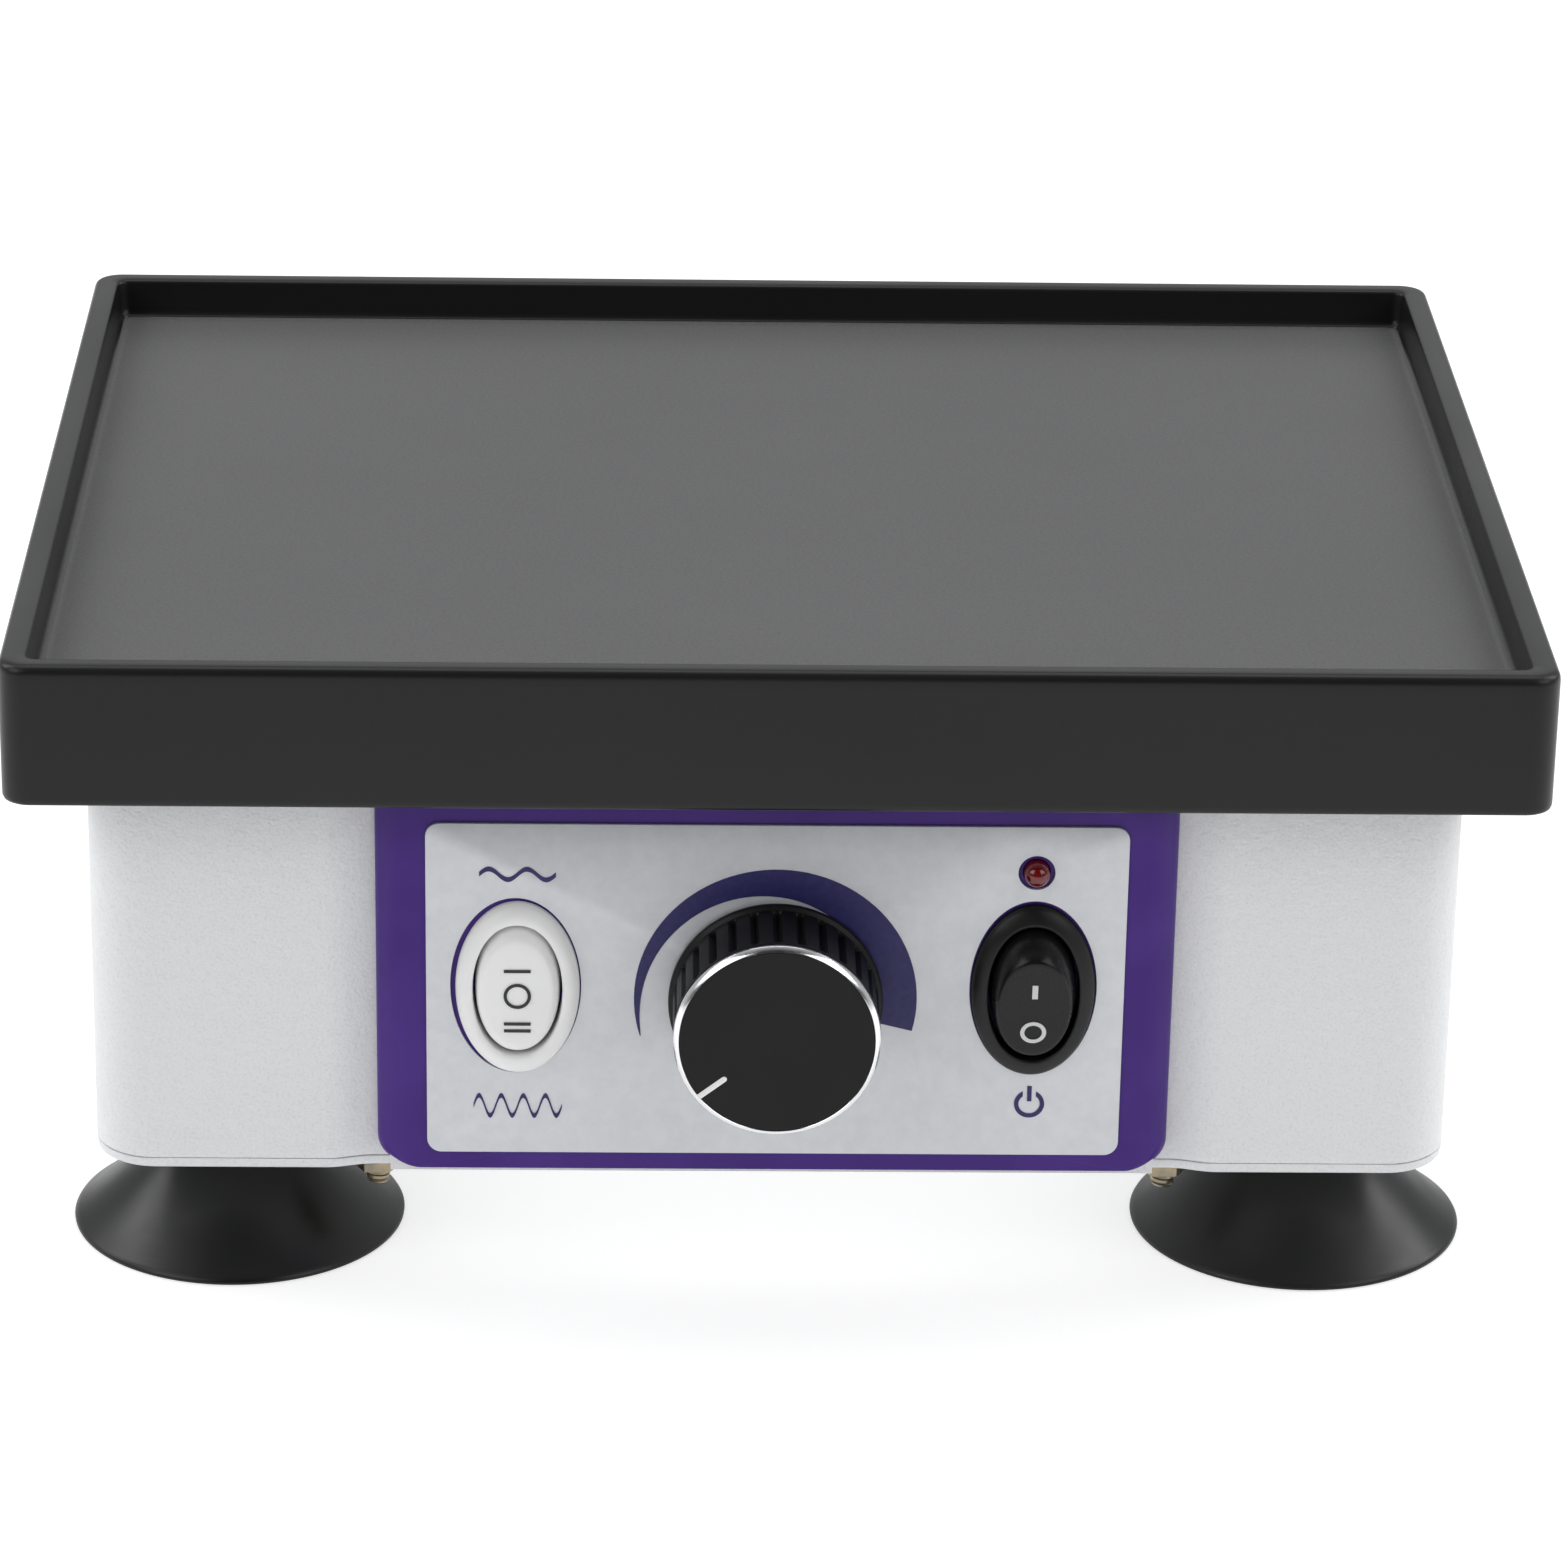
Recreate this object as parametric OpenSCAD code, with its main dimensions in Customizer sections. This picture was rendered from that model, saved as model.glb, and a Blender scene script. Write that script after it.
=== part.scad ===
// Bench vibrator with a rubber-covered square table, for settling poured plaster.
// The origin is on the bench, under the middle of the machine's bounding box.
// +Z is up and the controls face -Y. All sizes are millimetres.

/* [Table] */
// Width of the rubber tray cover
tray_w = 240; // [220:1:260]
// Depth of the rubber tray cover, front to back
tray_d = 190; // [180:1:210]
// Height of the tray's rim above the bench
total_h = 110; // [109:0.5:112]
// Height of the cover's side, from the lower edge of its skirt to the rim
skirt_h = 23.2; // [22:0.1:24]
// Depth of the tray's recess below the rim
recess_h = 6.8; // [5:0.1:7]
// Width of the rim round the recess
rim_w = 4.2; // [3.5:0.1:6]
// Radius of the tray's upright corners
tray_r = 5; // [4:0.5:8]
// Thickness of the rubber under the recess
cover_t = 2.6; // [2:0.1:3]
// Thickness of the rubber skirt
skirt_t = 3; // [2:0.1:4]
// Thickness of the metal platform under the cover
platform_t = 4; // [3:0.5:4]

/* [Case] */
// How far the tray overhangs the case on every side
overhang = 11.5; // [10:0.5:14]
// Radius of the case's upright corners
case_r = 10; // [6:0.5:12]
// Thickness of the cast wall
wall = 3; // [2.5:0.1:3.5]
// Thickness of the base plate
plate_t = 1.8; // [1:0.1:2]
// Height of the base plate's underside above the bench
base_z = 19.1; // [18.5:0.1:20]
// Width of the coloured front panel
fascia_w = 126; // [122:1:128]
// How far the front panel stands out from the case
fascia_proud = 3; // [2.5:0.1:3.5]

/* [Controls] */
// Width of the silver label plate
label_w = 110; // [106:1:114]
// Height of the silver label plate
label_h = 57; // [55:1:60]
// Diameter of the knob at its base
knob_d = 33.8; // [30:0.1:36]
// How far the knob's face stands out from the label plate
knob_h = 16; // [14:0.5:18]
// Number of grip grooves round the knob
flutes = 28; // [20:1:36]
// Distance of each rocker switch from the knob's axis
switch_x = 40.6; // [38:0.1:42]
// Tilt of a rocker to each side of its middle position, in degrees
rocker_tilt = 12; // [8:1:14]

/* [Feet] */
// Diameter of a suction cup at its lip
cup_d = 54; // [48:1:56]
// Inset of a suction cup's centre from the sides of the case
foot_inset = 21.75; // [20:0.25:26]
// How much further in the cups sit from the front and the back of the case
foot_back = 1.5; // [0:0.5:4]

/* [Drive] */
// Lamination unit: the core is 6 units wide and 4 units high
lam = 12.7; // [12:0.1:12.7]
// Thickness of the lamination stack
stack = 38; // [34:1:40]
// Air gap between the core and the armature at rest
air_gap = 2.2; // [2:0.1:2.5]
// Wire diameter of the compression springs
wire_d = 2.2; // [1.8:0.1:2.2]
// Number of turns in each spring
turns = 7; // [5:1:9]

/* [Hidden] */

round_fn = 96;
eps = 0.01;

// Levels, from the bench up
skirt_z = total_h - skirt_h;
floor_z = total_h - recess_h;
platform_top = floor_z - cover_t;
platform_z = platform_top - platform_t;
case_top = skirt_z + 3.5;
case_z = base_z + plate_t;
deck_z = case_top - wall;

// Case outline
case_w = tray_w - 2 * overhang;
case_d = tray_d - 2 * overhang;
front_y = -case_d / 2;
back_y = case_d / 2;

// Front panel, stacked outward from the case
fascia_t = 2;
fascia_y = front_y - fascia_proud;
pad_y = fascia_y + fascia_t;
pad_w = fascia_w - 2 * fascia_t;
valley_y = front_y + 1.5;
valley_r = 2.2;
inner_y = front_y + wall;
label_t = 0.5;
label_y = fascia_y - label_t;
label_z = base_z + 33.5;
knob_z = base_z + 32.2;
knob_y = label_y - knob_h;
knob_gap = 0.3;
switch_z = base_z + 34;
led_z = base_z + 54.2;
fascia_z = base_z + 1.3;

// The knob reaches further forward than the tray reaches back
centre_y = -(knob_y + tray_d / 2) / 2;

// Tie bolts: M4
tie_x = 63.4;
tie_y = back_y - 8.5;
m4_r = 2;
m4_hole = 2.15;

// Rocker switches
bezel_a = 9.8;
bezel_b = 14.7;
bezel_t = 2.5;
mouth_a = 7.1;
mouth_b = 11.5;
rocker_a = 6.7;
rocker_b = 11.1;
rocker_power = 2.3;
rocker_pivot = fascia_y + 1.5;
power_face = 6.6;
mode_face = 4.6;
switch_w = 17.2;
switch_h = 24.4;
switch_depth = 20;

// Potentiometer
pot_r = 12;
pot_depth = 11;
bush_r = 4.5;
shaft_r = 3;

// Feet
foot_x = case_w / 2 - foot_inset;
foot_y = case_d / 2 - foot_inset - foot_back;
neck_r = 9;
stud_r = 2.5;

// Springs
spring_x = 66;
spring_y = 46;
seat_z = 45;
cap_z = platform_z - 4;
spring_r = 7.4;
guide_r = spring_r - wire_d / 2 - 0.3;
deck_hole = 13;

// Electromagnet
frame_t = 3;
core_z = case_z + frame_t;
core_top = core_z + 4 * lam;
armature_z = core_top + air_gap;
armature_top = armature_z + lam;
limb = lam;

// Mains inlet
inlet_x = -35;
inlet_z = 44;
inlet_pitch = 40;

// Circuit board
board_z = case_z + 8.5;
board_t = 1.6;
board_top = board_z + board_t;
board_y = -47;

// Lead routes, chosen by hand along the inside of the case
live_route = [[-28, 59, 43], [-28, 52, 43], [-6, 47, 40], [30, 47, 40], [52, 36, 40], [53, -10, 40],
    [53, -38, 44], [48, -50, 54], [44, -54, 57], [41, -57, 57]];
neutral_route = [[-42, 59, 43], [-42, 52, 43], [-52, 38, 38], [-53, 0, 36], [-53, -36, 37],
    [-50, -50, 38], [-45, -54, 38], [-41, -54, 38]];
earth_route = [[-35, 59, 47], [-35, 53, 46], [-32, 48, 38], [-24, 45, 29], [-20, 45, 25], [-20, 45, 23.8]];
coil_route_a = [[-12, -31.4, 60], [-12, -34, 59], [-16, -41, 55], [-21.5, -50, 51], [-21.5, -54, 49],
    [-21.5, -54, 39]];
coil_route_b = [[-18, -31.4, 60], [-18, -34, 59], [-24, -41, 55], [-31.5, -50, 51], [-31.5, -54, 49],
    [-31.5, -54, 39]];

// ---- Shared shapes ----

// Moves the machine so that the origin is under the middle of its bounding box
module in_frame() {
    translate([0, centre_y, 0]) children();
}

// Rectangle with round corners, from exact squares and circles
module round_rect(w, h, r) {
    square([w - 2 * r, h], center = true);
    square([w, h - 2 * r], center = true);
    for (x = [-1, 1], y = [-1, 1])
        translate([x * (w / 2 - r), y * (h / 2 - r)]) circle(r, $fn = round_fn);
}

module round_block(w, d, h, r) {
    linear_extrude(h) round_rect(w, d, r);
}

// Draws a flat shape upright, from y_back forward by t
module upright(y_back, t) {
    translate([0, y_back, 0]) rotate([90, 0, 0]) linear_extrude(t) children();
}

// Cylinder along Y, from y_back forward by h
module rod_y(x, y_back, z, r, h) {
    translate([x, y_back, z]) rotate([90, 0, 0]) cylinder(r = r, h = h, $fn = round_fn);
}

function oval(a, b, p) = [for (i = [0:63]) let (t = i * 360 / 64)
    [a * sign(cos(t)) * pow(abs(cos(t)), 2 / p), b * sign(sin(t)) * pow(abs(sin(t)), 2 / p)]];

module corners(x, y) {
    for (sx = [-1, 1], sy = [-1, 1])
        translate([sx * x, sy * y, 0]) children();
}

module hex(af, h) {
    cylinder(r = af / 2 / cos(30), h = h, $fn = 6);
}

// Hexagon nut with a plain bore
module nut(af, h, bore) {
    difference() {
        hex(af, h);
        translate([0, 0, -1]) cylinder(r = bore, h = h + 2, $fn = round_fn);
    }
}

function unit(v) = v / norm(v);
function tangent(p, i) = unit(p[min(i + 1, len(p) - 1)] - p[max(i - 1, 0)]);
function side(t) = unit(cross(t, [0.32, 0.51, 0.8]));
function soften(p) = concat([p[0]],
    [for (i = [0:len(p) - 2]) each [p[i] * 0.75 + p[i + 1] * 0.25, p[i] * 0.25 + p[i + 1] * 0.75]],
    [p[len(p) - 1]]);

// Sweeps a round wire along points
module wire(points, r, sides) {
    n = len(points);
    rings = [for (i = [0:n - 1]) let (t = tangent(points, i), u = side(t), v = cross(t, u))
        for (k = [0:sides - 1]) points[i] + r * (cos(k * 360 / sides) * u + sin(k * 360 / sides) * v)];
    walls = [for (i = [0:n - 2], k = [0:sides - 1]) let (a = i * sides + k, b = i * sides + (k + 1) % sides)
        each [[b, a, a + sides], [b + sides, b, a + sides]]];
    start = [[for (k = [0:sides - 1]) k]];
    end = [[for (k = [sides - 1:-1:0]) (n - 1) * sides + k]];
    polyhedron(rings, concat(walls, start, end));
}

module lead(route) {
    wire(soften(soften(route)), 1.1, 8);
}

// ---- Case ----

module case_outline() {
    difference() {
        union() {
            round_rect(case_w, case_d, case_r);
            translate([-pad_w / 2, pad_y]) square([pad_w, 10]);
        }
        for (s = [-1, 1]) {
            translate([s * (pad_w / 2 + 1.75), valley_y - 5]) square([3.5, 10], center = true);
            translate([s * (pad_w / 2 + 3.5), valley_y - valley_r]) circle(valley_r, $fn = round_fn);
        }
    }
}

module switch_hole(x, gap) {
    translate([x, switch_z]) square([switch_w + gap, switch_h + gap], center = true);
}

// Cut-outs shared by the case front and the front panel
module control_holes(bush_hole, led_hole) {
    for (s = [-1, 1]) switch_hole(s * switch_x, 0.4);
    translate([0, knob_z]) circle(bush_hole, $fn = round_fn);
    translate([switch_x, led_z]) circle(led_hole, $fn = round_fn);
}

module housing() {
    color([0.86, 0.87, 0.88]) in_frame() difference() {
        translate([0, 0, case_z]) linear_extrude(case_top - case_z) case_outline();
        translate([0, 0, case_z - 1])
            round_block(case_w - 2 * wall, case_d - 2 * wall, deck_z - case_z + 1, case_r - wall);
        upright(inner_y + 1, 20) control_holes(4.7, 2.65);
        translate([0, 0, deck_z - 1]) linear_extrude(wall + 2) {
            square([94, 54], center = true);
            corners(spring_x, spring_y) circle(deck_hole, $fn = round_fn);
            corners(tie_x, tie_y) circle(m4_hole, $fn = round_fn);
        }
        upright(back_y + 1, wall + 2) translate([inlet_x, inlet_z]) {
            square([27.4, 20.4], center = true);
            for (s = [-1, 1]) translate([s * inlet_pitch / 2, 0]) circle(1.65, $fn = round_fn);
        }
    }
}

module base_plate() {
    color([0.84, 0.85, 0.86]) in_frame() translate([0, 0, base_z]) linear_extrude(plate_t) difference() {
        intersection() {
            case_outline();
            square([case_w, case_d], center = true);
        }
        corners(foot_x, foot_y) circle(stud_r + 0.1, $fn = round_fn);
        corners(tie_x, tie_y) circle(m4_hole, $fn = round_fn);
        corners(spring_x, spring_y) circle(4, $fn = round_fn);
        corners(43, 15) circle(m4_hole, $fn = round_fn);
        for (i = [-3:3], s = [-1, 1]) translate([i * 8, s * 31]) round_rect(3, 8, 1.4);
    }
}

module fascia() {
    color([0.25, 0.14, 0.52]) in_frame() difference() {
        translate([0, 0, fascia_z]) linear_extrude(case_top - fascia_z) difference() {
            intersection() {
                translate([0, fascia_y + 20]) round_rect(fascia_w, 40, 5);
                translate([-fascia_w / 2, fascia_y]) square([fascia_w, valley_y - fascia_y]);
            }
            translate([-pad_w / 2, pad_y]) square([pad_w, 20]);
        }
        upright(pad_y + 1, 10) control_holes(4.7, 2.2);
    }
}

// ---- Label plate and its print ----

module label_plate() {
    color([0.76, 0.77, 0.79]) in_frame() upright(fascia_y, label_t) difference() {
        translate([0, label_z]) round_rect(label_w, label_h, 2.3);
        translate([-switch_x - 0.3, switch_z + 0.25]) polygon(oval(10.3, 15.1, 2));
        translate([switch_x, switch_z + 0.3]) polygon(oval(10.05, 15.05, 2));
        translate([0, knob_z]) circle(5.2, $fn = round_fn);
        translate([switch_x, led_z]) circle(2.9, $fn = round_fn);
    }
}

print_t = 0.1;
arc_r = 22.3;
arc_from = 197;
arc_span = 211;
arc_steps = 60;

function arc_width(f) = 0.15 + 8 * pow(f, 0.85);
function arc_point(r, f) = [r * cos(arc_from - arc_span * f), r * sin(arc_from - arc_span * f)];

module scale_arc() {
    color([0.17, 0.13, 0.42]) in_frame() upright(label_y, print_t) translate([0, knob_z]) polygon(concat(
        [for (i = [0:arc_steps]) arc_point(arc_r, i / arc_steps)],
        [for (i = [arc_steps:-1:0]) arc_point(arc_r - arc_width(i / arc_steps), i / arc_steps)]));
}

// A stroke that follows a sine wave, as an open band
module wave(length, height, cycles, stroke) {
    steps = 48;
    function crest(i) = height / 2 * sin(360 * cycles * i / steps);
    polygon(concat(
        [for (i = [0:steps]) [length * (i / steps - 0.5), crest(i) + stroke / 2]],
        [for (i = [steps:-1:0]) [length * (i / steps - 0.5), crest(i) - stroke / 2]]));
}

module power_symbol(r, stroke) {
    difference() {
        circle(r, $fn = round_fn);
        circle(r - stroke, $fn = round_fn);
        translate([0, r]) square([stroke * 3, r], center = true);
    }
    translate([0, r * 0.75]) square([stroke, r * 1.1], center = true);
}

module panel_symbols() {
    color([0.17, 0.13, 0.42]) in_frame() upright(label_y, print_t) {
        translate([-switch_x, label_z + 19.9]) wave(12, 1.8, 2, 0.8);
        translate([-switch_x, label_z - 20.2]) wave(14, 3.6, 4, 0.8);
        translate([switch_x, label_z - 19.4]) power_symbol(2.4, 0.7);
    }
}

// ---- Feet and tie bolts ----

module suction_cup() {
    rotate_extrude($fn = round_fn) difference() {
        polygon([[0, 3], [cup_d / 2 - 1.4, 0], [cup_d / 2, 0], [cup_d / 2, 0.7], [cup_d / 2 - 8.5, 8.2],
            [neck_r + 0.4, base_z - 3.2], [neck_r, base_z], [0, base_z]]);
        polygon([[-1, -1], [cup_d / 2 - 1.4, -1], [cup_d / 2 - 1.4, 0], [16, 7.2], [neck_r, 9.4], [-1, 9.4]]);
        translate([-1, 11]) square([1 + stud_r, base_z]);
    }
}

module foot(sx, sy) {
    color([0.11, 0.11, 0.12]) in_frame() translate([sx * foot_x, sy * foot_y, 0]) suction_cup();
}

module foot_studs() {
    color([0.75, 0.75, 0.76]) in_frame() corners(foot_x, foot_y)
        translate([0, 0, 11]) cylinder(r = stud_r, h = 18, $fn = round_fn);
}

module foot_nuts() {
    color([0.75, 0.75, 0.76]) in_frame() corners(foot_x, foot_y) translate([0, 0, case_z]) difference() {
        union() {
            cylinder(r = 5, h = 1, $fn = round_fn);
            translate([0, 0, 1]) hex(8, 4);
        }
        translate([0, 0, -1]) cylinder(r = stud_r, h = 8, $fn = round_fn);
    }
}

module tie_bolts() {
    color([0.72, 0.62, 0.38]) in_frame() corners(tie_x, tie_y) {
        translate([0, 0, base_z - 5.6]) cylinder(r = m4_r, h = case_top - base_z + 5.6, $fn = round_fn);
        translate([0, 0, case_top]) cylinder(r = 3.8, h = 2.4, $fn = round_fn);
    }
}

module tie_nuts() {
    color([0.72, 0.62, 0.38]) in_frame() corners(tie_x, tie_y) {
        translate([0, 0, base_z - 3]) nut(7, 2.2, m4_r);
        translate([0, 0, base_z - 0.8]) difference() {
            cylinder(r = 4.4, h = 0.8, $fn = round_fn);
            translate([0, 0, -1]) cylinder(r = m4_r, h = 3, $fn = round_fn);
        }
    }
}

// ---- Rocker switches ----

// Bezel in front of the panel, body behind it, mouth and pivot holes for the rocker
module switch_shell(x) {
    difference() {
        union() {
            upright(fascia_y, bezel_t) translate([x, switch_z]) polygon(oval(bezel_a, bezel_b, 2));
            upright(fascia_y + switch_depth, switch_depth) switch_hole(x, 0);
        }
        upright(fascia_y + 7.5, 12) translate([x, switch_z]) polygon(oval(mouth_a, mouth_b, rocker_power));
        translate([x - 8.3, rocker_pivot, switch_z]) rotate([0, 90, 0]) cylinder(r = 1.25, h = 16.6, $fn = round_fn);
    }
}

module mode_switch() {
    color([0.88, 0.88, 0.88]) in_frame() switch_shell(-switch_x);
}

module power_switch() {
    color([0.1, 0.1, 0.11]) in_frame() switch_shell(switch_x);
}

module switch_terminals() {
    color([0.8, 0.7, 0.45]) in_frame() for (x = [-switch_x, switch_x], dz = [-7, 0, 7])
        translate([x - 2.4, fascia_y + switch_depth, switch_z + dz - 0.4]) cube([4.8, 8, 0.8]);
}

// Turns a shape about a switch's pivot; positive brings the upper end forward
module tilted(x, angle) {
    translate([x, rocker_pivot, switch_z]) rotate([angle, 0, 0]) children();
}

// A barrel about the pivot, cut flat in front at the given distance
module rocker(face) {
    intersection() {
        rotate([0, 90, 0]) rotate_extrude($fn = round_fn) intersection() {
            rotate(90) polygon(oval(rocker_a, rocker_b, rocker_power));
            translate([0, -20]) square([20, 40]);
        }
        translate([-10, -face, -15]) cube([20, face + 3.5, 30]);
    }
    translate([-8.1, 0, 0]) rotate([0, 90, 0]) cylinder(r = 1.2, h = 16.2, $fn = round_fn);
}

module mode_rocker() {
    color([0.9, 0.9, 0.9]) in_frame() tilted(-switch_x, 0) rocker(mode_face);
}

module power_rocker() {
    color([0.12, 0.12, 0.13]) in_frame() tilted(switch_x, rocker_tilt) rocker(power_face);
}

module ring_mark(r, stroke) {
    difference() {
        circle(r, $fn = round_fn);
        circle(r - stroke, $fn = round_fn);
    }
}

module mode_marks() {
    color([0.08, 0.08, 0.09]) in_frame() tilted(-switch_x, 0) upright(-mode_face, print_t) {
        translate([0, 3.9]) square([4.2, 0.5], center = true);
        translate([0, -0.4]) ring_mark(2.15, 0.5);
        translate([0, -5.2]) square([4.2, 0.5], center = true);
        translate([0, -6.4]) square([4.2, 0.5], center = true);
    }
}

module power_marks() {
    color([0.9, 0.9, 0.9]) in_frame() tilted(switch_x, rocker_tilt) upright(-power_face, print_t) {
        translate([0, 3.5]) square([0.9, 2.6], center = true);
        translate([0, -4.4]) ring_mark(2.05, 0.65);
    }
}

// ---- Lamp, potentiometer and knob ----

module led() {
    color([0.7, 0.05, 0.05]) in_frame() {
        rod_y(switch_x, inner_y - 0.5, led_z, 2.05, inner_y - 0.5 - (label_y - 0.4));
        translate([switch_x, label_y - 0.4, led_z]) sphere(2.05, $fn = round_fn);
        rod_y(switch_x, inner_y + 0.5, led_z, 2.5, 1);
    }
}

module potentiometer() {
    color([0.55, 0.56, 0.58]) in_frame() difference() {
        union() {
            rod_y(0, inner_y + pot_depth, knob_z, pot_r, pot_depth);
            rod_y(0, inner_y, knob_z, bush_r, inner_y - label_y + 3.2);
            for (x = [-5, 0, 5]) translate([x - 1, inner_y + 3, knob_z - pot_r - 6]) cube([2, 1, 8]);
        }
        rod_y(0, inner_y + 7, knob_z, shaft_r + 0.05, 40);
    }
}

module pot_nut() {
    color([0.8, 0.8, 0.81]) in_frame() translate([0, label_y, knob_z]) rotate([90, 0, 0]) nut(12, 2.4, bush_r);
}

module pot_shaft() {
    color([0.8, 0.8, 0.81]) in_frame() rod_y(0, inner_y + 6.7, knob_z, shaft_r, inner_y + 6.7 - knob_y - 3);
}

ring_h = 1.1;
ring_r = knob_d / 2 - 0.7;
face_r = ring_r - 0.9;
pointer_angle = 218;

module knob() {
    color([0.13, 0.12, 0.13]) in_frame() translate([0, label_y - knob_gap, knob_z]) rotate([90, 0, 0]) difference() {
        union() {
            cylinder(r = knob_d / 2, h = 1.6, $fn = round_fn);
            cylinder(r = ring_r, h = knob_h - knob_gap - ring_h, $fn = round_fn);
            cylinder(r = face_r, h = knob_h - knob_gap, $fn = round_fn);
        }
        for (i = [0:flutes - 1]) rotate(i * 360 / flutes) translate([ring_r + 0.15, 0, 1.6])
            cylinder(r = 0.75, h = knob_h - ring_h - 3.4, $fn = 24);
        translate([0, 0, -1]) cylinder(r = 9.5, h = 4.6, $fn = round_fn);
        translate([0, 0, -1]) cylinder(r = shaft_r, h = knob_h - knob_gap - 2, $fn = round_fn);
        rotate(pointer_angle) translate([face_r - 5, -0.5, knob_h - knob_gap - 0.2]) cube([4.9, 1, 1]);
    }
}

module knob_ring() {
    color([0.92, 0.92, 0.93]) in_frame() translate([0, knob_y + ring_h, knob_z]) rotate([90, 0, 0])
        rotate_extrude($fn = round_fn) polygon([[face_r, 0], [ring_r, 0], [ring_r, 0.2], [face_r, ring_h]]);
}

module knob_pointer() {
    color([0.95, 0.95, 0.95]) in_frame() translate([0, knob_y + 0.2, knob_z]) rotate([90, 0, 0])
        rotate(pointer_angle) translate([face_r - 5, -0.5, 0]) cube([4.9, 1, 0.2]);
}

// ---- Electromagnet ----

// E-shaped lamination stack, open side up
module magnet_core() {
    color([0.35, 0.35, 0.36]) in_frame() difference() {
        upright(stack / 2, stack) translate([0, core_z]) difference() {
            translate([-3 * lam, 0]) square([6 * lam, 4 * lam]);
            for (s = [-1, 1]) translate([s * 1.5 * lam - lam / 2, lam]) square([lam, 4 * lam]);
        }
        for (s = [-1, 1]) rod_y(s * 2.5 * lam, stack, core_z + lam / 2, m4_hole, 2 * stack);
    }
}

bobbin_z = core_z + lam + 0.3;
bobbin_h = 3 * lam - 1.2;
bobbin_x = 2 * lam - 0.5;
bobbin_y = stack / 2 + 12;
tube_x = lam + 1.5;
tube_y = stack / 2 + 1.5;

module coil_bobbin() {
    color([0.85, 0.82, 0.7]) in_frame() translate([0, 0, bobbin_z]) difference() {
        union() {
            for (z = [0, bobbin_h - 1.5]) translate([-bobbin_x, -bobbin_y, z])
                cube([2 * bobbin_x, 2 * bobbin_y, 1.5]);
            translate([-tube_x, -tube_y, 0]) cube([2 * tube_x, 2 * tube_y, bobbin_h]);
        }
        translate([-limb - 0.2, -stack / 2 - 0.2, -1]) cube([2 * limb + 0.4, stack + 0.4, bobbin_h + 2]);
    }
}

module coil_winding() {
    color([0.72, 0.36, 0.16]) in_frame() translate([0, 0, bobbin_z + 1.5]) linear_extrude(bobbin_h - 3) difference() {
        round_rect(2 * bobbin_x - 1, 2 * bobbin_y - 1, 6);
        square([2 * tube_x, 2 * tube_y], center = true);
    }
}

// Flat foot with two upturned sides that grip the stack
module magnet_frame() {
    color([0.68, 0.69, 0.7]) in_frame() difference() {
        union() {
            translate([-48, -stack / 2 - frame_t, case_z]) cube([96, stack + 2 * frame_t, frame_t]);
            for (s = [-1, 1]) translate([-3 * lam, s * (stack / 2 + frame_t / 2) - frame_t / 2, case_z])
                cube([6 * lam, frame_t, frame_t + lam]);
        }
        for (s = [-1, 1]) rod_y(s * 2.5 * lam, stack, core_z + lam / 2, m4_hole, 2 * stack);
        corners(43, 15) translate([0, 0, case_z - 1]) cylinder(r = m4_hole, h = 6, $fn = round_fn);
    }
}

module magnet_bolts() {
    color([0.75, 0.75, 0.76]) in_frame() for (s = [-1, 1]) {
        bolt_end = stack / 2 + frame_t;
        rod_y(s * 2.5 * lam, bolt_end, core_z + lam / 2, m4_r, 2 * bolt_end + 5);
        translate([s * 2.5 * lam, bolt_end + 3, core_z + lam / 2]) rotate([90, 0, 0]) hex(7, 3);
        translate([s * 2.5 * lam, -bolt_end, core_z + lam / 2]) rotate([90, 0, 0]) hex(7, 3.2);
    }
}

module frame_screws() {
    color([0.75, 0.75, 0.76]) in_frame() corners(43, 15) {
        translate([0, 0, core_z]) cylinder(r = 3.8, h = 2.4, $fn = round_fn);
        translate([0, 0, base_z - 5]) cylinder(r = m4_r, h = core_z - base_z + 5, $fn = round_fn);
        translate([0, 0, base_z - 3.2]) hex(7, 3.2);
    }
}

// ---- Platform on its springs ----

module spring_posts() {
    color([0.7, 0.71, 0.72]) in_frame() corners(spring_x, spring_y) {
        translate([0, 0, base_z]) cylinder(r = 3.95, h = plate_t, $fn = round_fn);
        translate([0, 0, case_z]) cylinder(r = 9, h = seat_z - case_z, $fn = round_fn);
        translate([0, 0, seat_z]) cylinder(r = guide_r, h = 9, $fn = round_fn);
    }
}

module spring_caps() {
    color([0.7, 0.71, 0.72]) in_frame() corners(spring_x, spring_y) {
        translate([0, 0, cap_z - 8]) cylinder(r = guide_r, h = 8, $fn = round_fn);
        translate([0, 0, cap_z]) cylinder(r = 10.5, h = platform_z - cap_z, $fn = round_fn);
        translate([0, 0, platform_z]) cylinder(r = 3.95, h = platform_t, $fn = round_fn);
    }
}

module spring(sx, sy) {
    rest = wire_d / 2 + 0.1;
    rise = cap_z - seat_z - 2 * rest;
    steps = turns * 12;
    color([0.6, 0.61, 0.63]) in_frame() translate([sx * spring_x, sy * spring_y, seat_z + rest])
        wire([for (i = [0:steps]) [spring_r * cos(i * 30), spring_r * sin(i * 30), rise * i / steps]], wire_d / 2, 6);
}

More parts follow.
